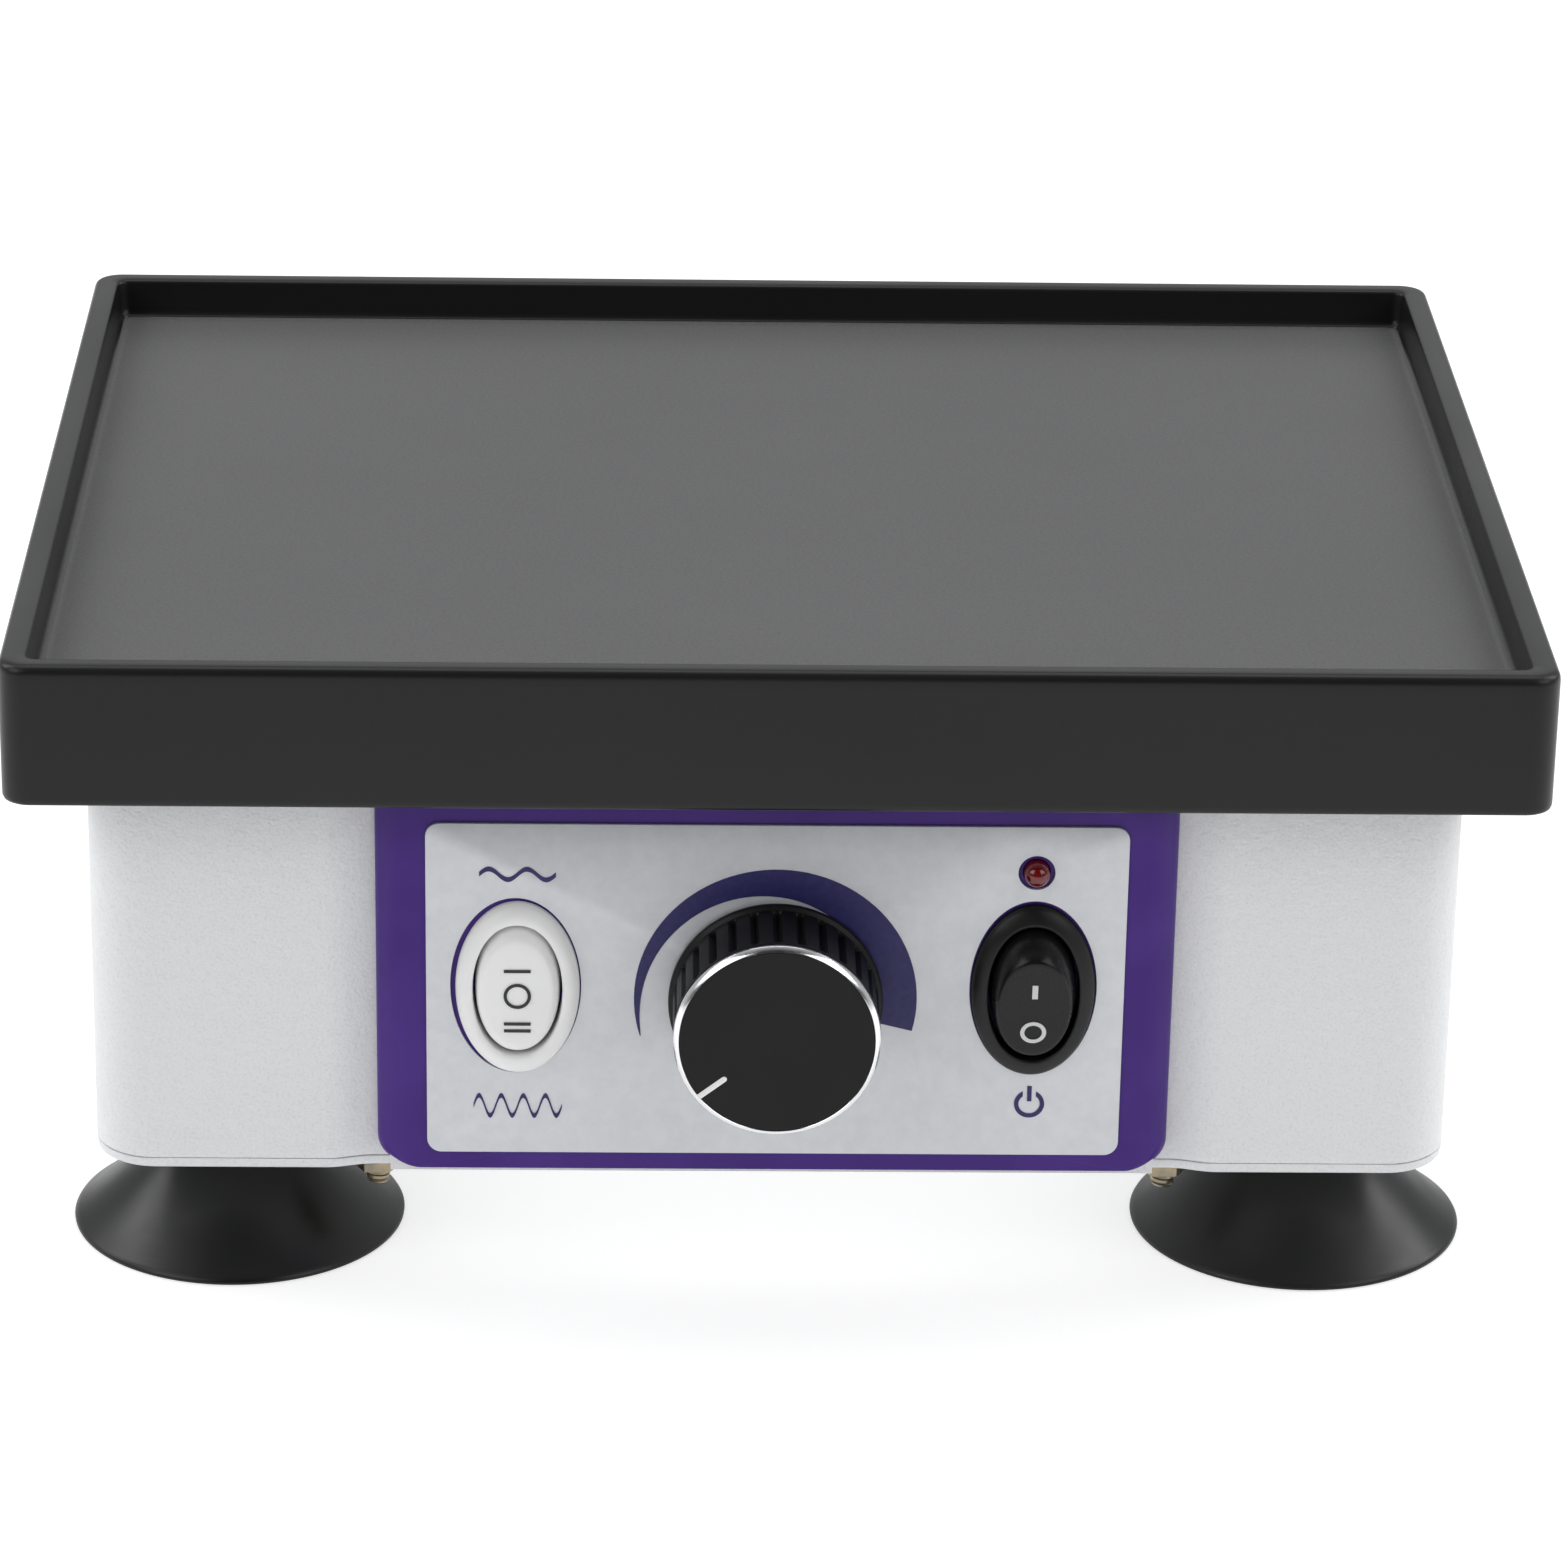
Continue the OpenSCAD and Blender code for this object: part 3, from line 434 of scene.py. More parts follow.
paint, paint_tree, paint_shader = new_material("hammered_paint", (0.72, 0.735, 0.76), 0.42)
shade(paint_tree, grain(paint_tree, 2300, 3, 0.6), 0.3, 0.5, (0.69, 0.7, 0.715), (0.775, 0.78, 0.79),
      paint_shader.inputs["Base Color"])
spread(paint_tree, grain(paint_tree, 300, 3), 0.36, 0.5, paint_shader.inputs["Roughness"])
emboss(paint_tree, paint_shader, grain(paint_tree, 520, 2, 0.5), 0.5, 0.0003)
emboss(paint_tree, paint_shader, grain(paint_tree, 1900, 2, 0.5), 0.6, 0.0002)
paint_shader.inputs["Coat Weight"].default_value = 0.25
paint_shader.inputs["Coat Roughness"].default_value = 0.25

outline = case_outline()
seam = case_low.z + 0.12 * MM
case_rings = []
case_tall = case_high.z - seam
for height, inset in ((0, 0.2), (0.12 * MM, 0.05), (0.35 * MM, 0), (2 * MM, 0), (case_tall / 2, 0),
                      (case_tall - 2 * MM, 0), (case_tall - 0.5 * MM, 0), (case_tall - 0.15 * MM, 0.15),
                      (case_tall, 0.5)):
    case_rings.append([Vector((p.x, p.y, seam + height)) for p in drawn_in(outline, inset * MM)])
inner_half = Vector((case_half.x - 3 * MM, case_half.y - 3 * MM))
wall_loop = []
for p in outline:
    wall_loop.append(Vector((max(-inner_half.x, min(inner_half.x, p.x)),
                             max(case_mid_y - inner_half.y, min(case_mid_y + inner_half.y, p.y)))))
inner_rings = [[Vector((p.x, p.y, z)) for p in wall_loop] for z in (case_high.z - 3 * MM, seam)]
case_shell = skin("case_casting", inner_rings + case_rings)
spring_aside, spring_along = 66 * MM, 46 * MM
spring_x = [spring_aside, -spring_aside]
spring_y = [case_mid_y + spring_along, case_mid_y - spring_along]
m4_clear = 2.15 * MM
tie_spots = [(s * 63.4 * MM, case_mid_y + t * 75 * MM) for s in (1, -1) for t in (1, -1)]
switch_z = 53.1 * MM
switch_x = 40.6 * MM
knob_z = 51.3 * MM
lamp_z = 73.3 * MM
top, back = case_high.z, base_high.y
socket_low, socket_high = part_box("inlet_socket")
socket_x, socket_z = (socket_low.x + socket_high.x) / 2, (socket_low.z + socket_high.z) / 2
bush_clear = 4.7 * MM
deck_holes = [oblong(0, case_mid_y, 94 * MM, 54 * MM)]
deck_holes += [disc(x, y, 13 * MM) for x in spring_x for y in spring_y]
deck_holes += [disc(x, y, m4_clear, 24) for x, y in tie_spots]
front_holes = [oblong(s * switch_x, switch_z, 17.6 * MM, 24.8 * MM) for s in (-1, 1)]
front_holes += [disc(0, knob_z, bush_clear), disc(switch_x, lamp_z, 2.65 * MM)]
back_holes = [oblong(socket_x, socket_z, 27.4 * MM, 20.4 * MM)]
back_holes += [disc(socket_x + s * 20 * MM, socket_z, 1.65 * MM, 24) for s in (-1, 1)]
cut(case_shell, [prism(hole, top - 8 * MM, top + 2 * MM) for hole in deck_holes]
    + [prism(hole, case_low.y - 3 * MM, case_low.y + 12 * MM, "Y") for hole in front_holes]
    + [prism(hole, back - 6 * MM, back + 2 * MM, "Y") for hole in back_holes])
fit(soften(case_shell, 32), paint, "case", "case_paint", "housing")


# ---- Base plate ----
# A steel plate in the same paint closes the case from below; a fine seam shows round it.
# It has two rows of air slots and holes for the feet, the tie bolts and the magnet.

base_rings = []
plate_tall = (base_high.z - base_low.z) / MM
for height in (0.0, 0.12, 0.3, 0.6, 1.0, plate_tall - 0.35, plate_tall - 0.1, plate_tall):
    inset = edge_inset(height * MM) + (0.04 if height < plate_tall - 0.05 else 0.2) * MM
    base_rings.append([Vector((p.x, max(p.y, base_low.y + 0.2 * MM), base_low.z + height * MM))
                       for p in drawn_in(outline, inset)])
base_piece = skin("base_plate_pressing", base_rings)
foot_spots = [(s * 86.75 * MM, case_mid_y + t * 60.25 * MM) for s in (1, -1) for t in (1, -1)]
base_holes = [disc(x, y, 2.6 * MM, 24) for x, y in foot_spots]
base_holes += [disc(x, y, m4_clear, 24) for x, y in tie_spots]
base_holes += [disc(x, y, 4.0 * MM, 32) for x in spring_x for y in spring_y]
base_holes += [disc(s * 43 * MM, case_mid_y + t * 15 * MM, m4_clear, 24) for s in (1, -1) for t in (1, -1)]
slot_loop = rounded_outline(3 * MM, 8 * MM, 1.45 * MM, 6, 0.02 * MM, 2)
base_holes += [[(p.x + column * 8 * MM, p.y + case_mid_y + row * 31 * MM) for p in slot_loop]
               for column in range(-3, 4) for row in (-1, 1)]
cut(base_piece, [prism(hole, base_low.z - 2 * MM, base_high.z + 2 * MM) for hole in base_holes])
fit(soften(base_piece, 32), paint, "case", "case_paint", "base_plate")


# ---- Front panel ----
# A moulding in satin purple stands out from the case between the two grooves.
# Its upright edges are well rounded, and its top runs up under the tray's skirt.

purple, purple_tree, purple_shader = new_material("purple_panel", (0.068, 0.031, 0.2), 0.4)
shade(purple_tree, grain(purple_tree, 60, 3), 0.35, 0.65, (0.053, 0.017, 0.185), (0.066, 0.023, 0.222),
      purple_shader.inputs["Base Color"])
purple_shader.inputs["Specular IOR Level"].default_value = 0.2
spread(purple_tree, grain(purple_tree, 40, 3), 0.36, 0.46, purple_shader.inputs["Roughness"])
emboss(purple_tree, purple_shader, grain(purple_tree, 1500, 2), 0.1, 0.00006)


def panel_outline(inset, low, high, half, corner):
    """Upright outline with round lower corners and a square top, seen from the front."""
    left, bottom = half - inset, low + min(inset, 0.7 * MM)
    r = max(corner - inset * 0.6, 0.5 * MM)
    loop = arc_points(Vector((left - r, bottom + r)), r, -90, 0, 8)
    loop += [Vector((left, bottom + r + 0.6 * MM)), Vector((left, (low + high) / 2)), Vector((left, high))]
    loop += [Vector((0, high))]
    loop += [Vector((-left, high)), Vector((-left, (low + high) / 2)), Vector((-left, bottom + r + 0.6 * MM))]
    loop += arc_points(Vector((-left + r, bottom + r)), r, 180, 270, 8)
    loop += [Vector((-left + r + 0.6 * MM, bottom)), Vector((0, bottom)), Vector((left - r - 0.6 * MM, bottom))]
    return loop


def oval(x, z, half_width, half_height, power=2.0, count=96):
    """A superellipse, seen from the front."""
    loop = []
    for i in range(count):
        c, s = math.cos(2 * math.pi * i / count), math.sin(2 * math.pi * i / count)
        loop.append((x + half_width * math.copysign(abs(c) ** (2 / power), c),
                     z + half_height * math.copysign(abs(s) ** (2 / power), s)))
    return loop


panel_half = 63 * MM
switch_power = 3.2
panel_front = fascia_low.y
panel_rings = []
for depth, inset in ((4.5, 0.25), (4.3, 0.0), (3.8, 0.0), (3.4, 0.02), (2.6, 0.3), (1.8, 0.85), (1.1, 1.6),
                     (0.55, 2.5), (0.2, 3.4), (0.03, 4.2), (0.0, 4.9)):
    loop = panel_outline(inset * MM, fascia_low.z, fascia_high.z, panel_half, 5 * MM)
    panel_rings.append([Vector((p.x, panel_front + depth * MM, p.y)) for p in loop])
panel = skin("front_panel", panel_rings)
pad_space = prism(oblong(0, 60 * MM, 2 * pad_half, 100 * MM), panel_front + 2 * MM, panel_front + 9 * MM, "Y")
panel_holes = [oval(s * switch_x, switch_z, 8.8 * MM, 12.4 * MM, switch_power) for s in (-1, 1)]
panel_holes += [disc(0, knob_z, bush_clear), disc(switch_x, lamp_z, 2.2 * MM)]
cut(panel, [pad_space] + [prism(hole, panel_front - 1 * MM, panel_front + 4 * MM, "Y") for hole in panel_holes])
fit(soften(panel, 32), purple, "case", "front_panel", "fascia")


# ---- Label plate and its print ----
# A thin silver plate with a bright cut edge is stuck on the panel, with holes for the controls.
# The scale and the symbols are printed on it in dark violet.

silver, silver_tree, silver_shader = new_material("label_silver", (0.58, 0.595, 0.62), 0.42, 0.25)
shade(silver_tree, grain(silver_tree, 500, 3), 0.35, 0.65, (0.62, 0.635, 0.665), (0.66, 0.675, 0.7),
      silver_shader.inputs["Base Color"])
spread(silver_tree, grain(silver_tree, 25, 4), 0.36, 0.5, silver_shader.inputs["Roughness"])
emboss(silver_tree, silver_shader, grain(silver_tree, 2200, 2), 0.06, 0.00005)

label_low, label_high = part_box("label_plate")
plate_loop = rounded_outline(label_high.x - label_low.x, label_high.z - label_low.z, 2.3 * MM)
plate_z = (label_low.z + label_high.z) / 2
plate_rings = [[Vector((p.x, label_high.y - t * MM, p.y + plate_z)) for p in drawn_in(plate_loop, i * MM)]
               for t, i in ((0.0, 0.0), (0.32, 0.0), (0.44, 0.05), (0.5, 0.16))]
plate = skin("label_plate_sheet", plate_rings)
label_holes = [oval(-switch_x - 0.3 * MM, switch_z + 0.25 * MM, 10.3 * MM, 15.1 * MM),
               oval(switch_x, switch_z + 0.3 * MM, 10.05 * MM, 15.05 * MM),
               disc(0, knob_z, 5.2 * MM), disc(switch_x, lamp_z, 2.9 * MM)]
cut(plate, [prism(hole, label_low.y - MM, label_high.y + MM, "Y") for hole in label_holes])
fit(soften(plate, 32), silver, "case", "label_silver", "label_plate")

ink, ink_tree, ink_shader = new_material("label_ink", (0.035, 0.028, 0.13), 0.4)
shade(ink_tree, grain(ink_tree, 900, 3), 0.3, 0.7, (0.022, 0.02, 0.1), (0.032, 0.029, 0.135),
      ink_shader.inputs["Base Color"])
ink_shader.inputs["Specular IOR Level"].default_value = 0.3
emboss(ink_tree, ink_shader, grain(ink_tree, 2600, 2), 0.08, 0.00004)


def dress(node, material):
    """Gives a frame node whose shape is right its finished material."""
    nodes[node].data.materials.clear()
    nodes[node].data.materials.append(material)


dress("scale_arc", ink)
dress("panel_symbols", ink)


# ---- Suction feet ----
# Four black rubber cups stand on their lips; each has a thick neck bolted to the base plate.
# Fine turning marks from the mould run round the cone.

cup_rubber, cup_tree, cup_shader = new_material("cup_rubber", (0.006, 0.006, 0.0065), 0.34)
cup_shader.inputs["Specular IOR Level"].default_value = 0.4
spread(cup_tree, grain(cup_tree, 45, 4), 0.28, 0.46, cup_shader.inputs["Roughness"])
emboss(cup_tree, cup_shader, grain(cup_tree, 700, 3, 0.6, (0.15, 0.15, 3.0)), 0.12, 0.0002)


def turned(name, profile, middle, axis="Z", count=96):
    """A body of revolution through (radius, distance along the axis) pairs, closed on the axis."""
    rings = []
    for radius, along in profile:
        ring = []
        for i in range(count):
            a = 2 * math.pi * i / count
            u, v = radius * math.cos(a) * MM, radius * math.sin(a) * MM
            offset = {"Z": (u, v, along * MM), "Y": (u, -along * MM, v)}[axis]
            ring.append(Vector(middle) + Vector(offset))
        rings.append(ring)
    return skin(name, rings)


cup_section = [
    (0.6, 9.4), (8.0, 9.4), (12.0, 8.6), (18.0, 5.4), (23.0, 2.2), (25.4, 0.35), (25.9, 0.04), (26.6, 0.0),
    (26.95, 0.18), (27.0, 0.5), (26.8, 0.85), (26.2, 1.3), (24.0, 3.1), (20.0, 6.6), (16.0, 10.2), (12.5, 13.5),
    (10.8, 15.2), (10.4, 15.7), (10.0, 15.9), (9.5, 16.0), (9.15, 16.2), (9.05, 16.6), (9.05, 18.6),
    (8.9, 19.0), (8.4, 19.1), (0.6, 19.1)]
for corner, (x, y) in {"rear_right": foot_spots[0], "front_right": foot_spots[1],
                       "rear_left": foot_spots[2], "front_left": foot_spots[3]}.items():
    cup = turned("cup_" + corner, cup_section, (x, y, 0), count=128)
    fit(soften(cup, 50), cup_rubber, "case", "foot_rubber", "foot_" + corner)


# ---- Tie bolts ----
# Four M4 bolts in yellow zinc run down through the deck; their threaded ends show under the base.
# The thread is one ridge wound round the core of each bolt.

zinc, zinc_tree, zinc_shader = new_material("yellow_zinc", (0.36, 0.31, 0.22), 0.3, 0.9)
shade(zinc_tree, grain(zinc_tree, 260, 3), 0.35, 0.65, (0.26, 0.235, 0.19), (0.42, 0.345, 0.22),
      zinc_shader.inputs["Base Color"])
spread(zinc_tree, grain(zinc_tree, 500, 3), 0.24, 0.42, zinc_shader.inputs["Roughness"])


def new_tree(name, inputs):
    """An empty geometry tree with named inputs; returns it with its input and output nodes."""
    tree = bpy.data.node_groups.new(name, "GeometryNodeTree")
    tree.interface.new_socket("Geometry", in_out="INPUT", socket_type="NodeSocketGeometry")
    tree.interface.new_socket("Geometry", in_out="OUTPUT", socket_type="NodeSocketGeometry")
    for label, kind in inputs:
        tree.interface.new_socket(label, in_out="INPUT", socket_type="NodeSocket" + kind)
    return tree, tree.nodes.new("NodeGroupInput"), tree.nodes.new("NodeGroupOutput")


def add(tree, kind, links=None, values=None, **settings):
    """One node with its settings, its fixed inputs and the sockets that feed it."""
    node = tree.nodes.new(kind)
    for key, value in settings.items():
        setattr(node, key, value)
    for key, value in (values or {}).items():
        node.inputs[key].default_value = value
    for key, source in (links or {}).items():
        tree.links.new(source, node.inputs[key])
    return node


def close_tree(tree, start, end, shape):
    """Closes a tree: the shape is made real and gets the tree's material."""
    solid = add(tree, "GeometryNodeRealizeInstances", {"Geometry": shape})
    painted = add(tree, "GeometryNodeSetMaterial", {"Geometry": solid.outputs[0],
                                                    "Material": start.outputs["Material"]})
    tree.links.new(painted.outputs[0], end.inputs[0])


def repeat(tree, start, end, points, part):
    """Closes a tree: the part stands at every point, is made real and gets the tree's material."""
    copies = add(tree, "GeometryNodeInstanceOnPoints", {"Points": points, "Instance": part})
    close_tree(tree, start, end, copies.outputs[0])


def grow(name, source, tree, values):
    """Runs a tree on a mesh or on a few points, and keeps the result as a plain mesh."""
    mesh = source
    if not isinstance(source, bpy.types.Mesh):
        mesh = bpy.data.meshes.new(name)
        mesh.from_pydata([tuple(p) for p in source], [], [])
    piece = bpy.data.objects.new(name, mesh)
    scene.collection.objects.link(piece)
    modifier = piece.modifiers.new("grow", "NODES")
    modifier.node_group = tree
    for item in tree.interface.items_tree:
        if item.item_type == "SOCKET" and item.in_out == "INPUT" and item.name in values:
            modifier[item.identifier] = values[item.name]
    return settle(piece)


thread_tree, start, end = new_tree("thread", [("Radius", "Float"), ("Pitch", "Float"), ("Turns", "Float"),
                                              ("Material", "Material")])
rise = add(thread_tree, "ShaderNodeMath", {0: start.outputs["Pitch"], 1: start.outputs["Turns"]},
           operation="MULTIPLY")
crest = add(thread_tree, "ShaderNodeMath", {0: start.outputs["Pitch"]}, {1: 0.62}, operation="MULTIPLY")
root = add(thread_tree, "ShaderNodeMath", {0: start.outputs["Radius"], 1: crest.outputs[0]},
           operation="SUBTRACT")
coil = add(thread_tree, "GeometryNodeCurveSpiral", {"Rotations": start.outputs["Turns"],
           "Start Radius": root.outputs[0], "End Radius": root.outputs[0], "Height": rise.outputs[0]},
           {"Resolution": 20})
ridge = add(thread_tree, "GeometryNodeCurvePrimitiveCircle", {"Radius": crest.outputs[0]}, {"Resolution": 4})
helix = add(thread_tree, "GeometryNodeCurveToMesh", {"Curve": coil.outputs[0],
            "Profile Curve": ridge.outputs[0]}, {"Fill Caps": True})
core = add(thread_tree, "GeometryNodeMeshCylinder", {"Radius": root.outputs[0], "Depth": rise.outputs[0]},
           {"Vertices": 20})
half_rise = add(thread_tree, "ShaderNodeMath", {0: rise.outputs[0]}, {1: 0.5}, operation="MULTIPLY")
lift = add(thread_tree, "ShaderNodeCombineXYZ", {"Z": half_rise.outputs[0]})
raised = add(thread_tree, "GeometryNodeTransform", {"Geometry": core.outputs["Mesh"],
             "Translation": lift.outputs[0]})
bolt = add(thread_tree, "GeometryNodeJoinGeometry")
thread_tree.links.new(helix.outputs[0], bolt.inputs[0])
thread_tree.links.new(raised.outputs[0], bolt.inputs[0])
repeat(thread_tree, start, end, start.outputs["Geometry"], bolt.outputs[0])

bolt_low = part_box("tie_bolts")[0]
threads = grow("tie_bolt_threads", [(x, y, bolt_low.z) for x, y in tie_spots], thread_tree,
               {"Radius": 2.0 * MM, "Pitch": 0.7 * MM, "Turns": 15.0, "Material": zinc})
fit(soften(threads, 40), None, "case", "yellow_zinc")

under_head = (case_high.z - bolt_low.z) / MM
shank_section = [(0.4, 10.5), (1.75, 10.5), (2.0, 10.9), (2.0, under_head), (3.75, under_head)]
shank_section += [(r, under_head + h) for r, h in ((3.8, 0.2), (3.8, 1.3), (3.5, 1.9), (2.8, 2.3), (1.6, 2.4),
                                                   (1.5, 1.7), (1.3, 1.1), (0.3, 1.0))]
shanks = merged([turned("tie_bolt_shanks", shank_section, (x, y, bolt_low.z), count=40) for x, y in tie_spots])
fit(soften(shanks, 35), zinc, "case", "yellow_zinc", "tie_bolts")


def eased(node, width, material, body, slot, angle=35, segments=2):
    """A copy of a frame node with its sharp edges broken, as on a real machined or moulded part."""
    mesh = nodes[node].data.copy()
    shape = bmesh.new()
    shape.from_mesh(mesh)
    bmesh.ops.remove_doubles(shape, verts=shape.verts, dist=1e-6)
    bmesh.ops.dissolve_limit(shape, angle_limit=math.radians(1.0), verts=shape.verts, edges=shape.edges)
    shape.to_mesh(mesh)
    shape.free()
    piece = bpy.data.objects.new(node + "_eased", mesh)
    scene.collection.objects.link(piece)
    bevel = piece.modifiers.new("ease", "BEVEL")
    bevel.width = width * MM
    bevel.segments = segments
    bevel.limit_method = "ANGLE"
    bevel.angle_limit = math.radians(angle)
    bevel.use_clamp_overlap = True
    settle(piece)
    return fit(soften(piece, 40), material, body, slot, node)


eased("tie_nuts", 0.2, zinc, "case", "yellow_zinc")


# ---- Rocker switches ----
# Two snap-in switches with domed oval bezels: a white one with three positions, a black one with two.
# Each rocker is a barrel on a hidden pin, cut flat in front, and printed with plain position marks.

white, white_tree, white_shader = new_material("white_plastic", (0.86, 0.86, 0.855), 0.36)
shade(white_tree, grain(white_tree, 120, 3), 0.35, 0.65, (0.85, 0.85, 0.845), (0.88, 0.88, 0.875),
      white_shader.inputs["Base Color"])
emboss(white_tree, white_shader, grain(white_tree, 1800, 2), 0.04, 0.00004)

black, black_tree, black_shader = new_material("black_plastic", (0.007, 0.007, 0.0075), 0.36)
black_shader.inputs["Specular IOR Level"].default_value = 0.3
spread(black_tree, grain(black_tree, 180, 3), 0.32, 0.46, black_shader.inputs["Roughness"])
emboss(black_tree, black_shader, grain(black_tree, 2600, 2.5), 0.3, 0.00007)

bezel_back = panel_front
pocket_depth, pin_depth = 7.2 * MM, 1.5 * MM


def oval_ring(x, z, half_width, half_height, y, power):
    """One oval outline at a depth, as a ring for a skin."""
    return [Vector((p[0], y, p[1])) for p in oval(x, z, half_width * MM, half_height * MM, power)]


def switch_bezel(name, x, section, material, slot, node):
    """One closed skin: pocket, lip, dome, rear of the flange, then the snap-in body behind the panel."""
    rings = [oval_ring(x, switch_z, *section[0][:2], bezel_back + pocket_depth, section[0][3])]
    for half_width, half_height, out, power in section:
        rings.append(oval_ring(x, switch_z, half_width, half_height, bezel_back - out * MM, power))
    for half_width, half_height, depth in ((8.55, 12.15, 0.02), (8.55, 12.15, 19.6), (8.2, 11.8, 20.0)):
        rings.append(oval_ring(x, switch_z, half_width, half_height, bezel_back + depth * MM, switch_power))
    piece = skin(name, rings)
    return fit(soften(piece, 45), material, "case", slot, node)


dome_section = [(7.05, 11.3, 1.6, 2.1), (7.08, 11.33, 2.1, 2.1), (7.2, 11.45, 2.36, 2.1),
                (7.4, 11.7, 2.47, 2.08), (7.8, 12.2, 2.5, 2.05), (8.3, 12.8, 2.42, 2), (8.8, 13.45, 2.2, 2),
                (9.25, 14.0, 1.82, 2), (9.55, 14.4, 1.35, 2), (9.74, 14.62, 0.75, 2), (9.8, 14.7, 0.2, 2),
                (9.75, 14.65, 0.02, 2)]
flat_section = [(7.1, 11.5, 1.6, 2.12), (7.12, 11.52, 2.1, 2.12), (7.22, 11.65, 2.38, 2.1),
                (7.4, 11.9, 2.48, 2.08), (7.7, 12.25, 2.45, 2.04), (9.1, 13.9, 1.62, 2), (9.45, 14.3, 1.3, 2),
                (9.68, 14.55, 0.95, 2), (9.78, 14.68, 0.5, 2), (9.8, 14.7, 0.2, 2), (9.75, 14.65, 0.02, 2)]
switch_bezel("mode_switch_bezel", -switch_x, dome_section, white, "white_plastic", "mode_switch")
switch_bezel("power_switch_bezel", switch_x, flat_section, black, "black_plastic", "power_switch")


def rocker_cap(name, x, half_width, radius, power, tilt, face, crease, material, body, slot, node):
    """The rocker's front, round and flat at once, closed behind; tilted about its hidden pin."""
    pivot = Vector((x, bezel_back + pin_depth, switch_z))
    lean = Matrix.Rotation(math.radians(tilt), 4, "X")
    rings = []
    for share in (0.001, 0.2, 0.4, 0.55, 0.66, 0.74, 0.8, 0.84, 0.88, 0.91, 0.94, 0.965, 0.985, 0.996, 1.0):
        ring = []
        for u, v in oval(0, 0, half_width * share, radius * share, power, 120):
            barrel = radius * (max(1 - abs(u / half_width) ** power, 0)) ** (1 / power)
            round_out = math.sqrt(max(barrel ** 2 - v ** 2, 0))
            blend = max(crease - abs(round_out - face), 0) / crease
            out = min(round_out, face) - blend * blend * crease / 4
            ring.append(pivot + lean @ Vector((u * MM, -out * MM, v * MM)))
        rings.append(ring)
    for share, back in ((1.0, 0.6), (0.97, 2.6), (0.9, 3.4)):
        rings.append([pivot + lean @ Vector((u * MM, back * MM, v * MM))
                      for u, v in oval(0, 0, half_width * share, radius * share, power, 120)])
    piece = skin(name, rings)
    return fit(soften(piece, 60), material, body, slot, node)


gloss, gloss_tree, gloss_shader = new_material("rocker_black", (0.008, 0.008, 0.0085), 0.26)
gloss_shader.inputs["Specular IOR Level"].default_value = 0.26
spread(gloss_tree, grain(gloss_tree, 160, 3), 0.22, 0.34, gloss_shader.inputs["Roughness"])
emboss(gloss_tree, gloss_shader, grain(gloss_tree, 2600, 2), 0.12, 0.00005)
rocker_cap("mode_rocker_cap", -switch_x, 6.72, 10.95, 2.1, 0, 4.55, 2.6,
           white, "mode_rocker", "white_plastic", "mode_rocker")
rocker_cap("power_rocker_cap", switch_x, 6.85, 11.2, 2.12, 12, 6.55, 0.35,
           gloss, "power_rocker", "black_gloss", "power_rocker")

mark_black, mark_tree, mark_shader = new_material("mark_black", (0.012, 0.012, 0.013), 0.45)
emboss(mark_tree, mark_shader, grain(mark_tree, 2000, 2), 0.1, 0.00004)
mark_pale, pale_tree, pale_shader = new_material("mark_pale", (0.62, 0.62, 0.62), 0.5)
emboss(pale_tree, pale_shader, grain(pale_tree, 2000, 2), 0.1, 0.00004)
dress("mode_marks", mark_black)
dress("power_marks", mark_pale)

contact, contact_tree, contact_shader = new_material("brass_contact", (0.68, 0.52, 0.24), 0.3, 1.0)
spread(contact_tree, grain(contact_tree, 400, 3), 0.24, 0.42, contact_shader.inputs["Roughness"])
emboss(contact_tree, contact_shader, grain(contact_tree, 900, 2, 0.5, (1, 6, 1)), 0.1, 0.00005)
eased("switch_terminals", 0.12, contact, "case", "brass_contact")


# ---- Panel lamp ----
# A red lamp with a domed lens sits in a hole in the label that is a little too big for it.
# It is unlit: the lens is deep red and glossy.

lens_red, lens_tree, lens_shader = new_material("lamp_lens", (0.16, 0.004, 0.005), 0.12)
lens_shader.inputs["Coat Weight"].default_value = 0.35
lens_shader.inputs["Coat Roughness"].default_value = 0.05
shade(lens_tree, grain(lens_tree, 700, 2), 0.35, 0.7, (0.1, 0.002, 0.003), (0.2, 0.006, 0.006),
      lens_shader.inputs["Base Color"])
lamp_low, lamp_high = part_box("led")
lamp_depth = (lamp_high.y - lamp_low.y) / MM
lamp = turned("lamp_lens", [
    (0.3, 0.0), (2.5, 0.0), (2.5, 1.0), (2.05, 1.05), (2.05, lamp_depth - 2.05), (2.0, lamp_depth - 1.6),
    (1.85, lamp_depth - 1.1), (1.55, lamp_depth - 0.68), (1.1, lamp_depth - 0.3), (0.55, lamp_depth - 0.08),
    (0.15, lamp_depth)], (switch_x, lamp_high.y, lamp_z), "Y", 48)
fit(soften(lamp, 45), lens_red, "case", "lamp_lens", "led")


# ---- Speed knob ----
# A turned black knob with grip grooves, a polished ring round its face and a filled white line.
# The grooves are cut by a tree that pushes the wall in at even steps round the axis.

knob_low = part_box("knob")[0]
knob_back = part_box("label_plate")[0].y
knob_middle = Vector((0, knob_back, knob_z))
knob_face = (knob_back - knob_low.y) / MM
grip_count, grip_inner = 28, 15.5 * MM

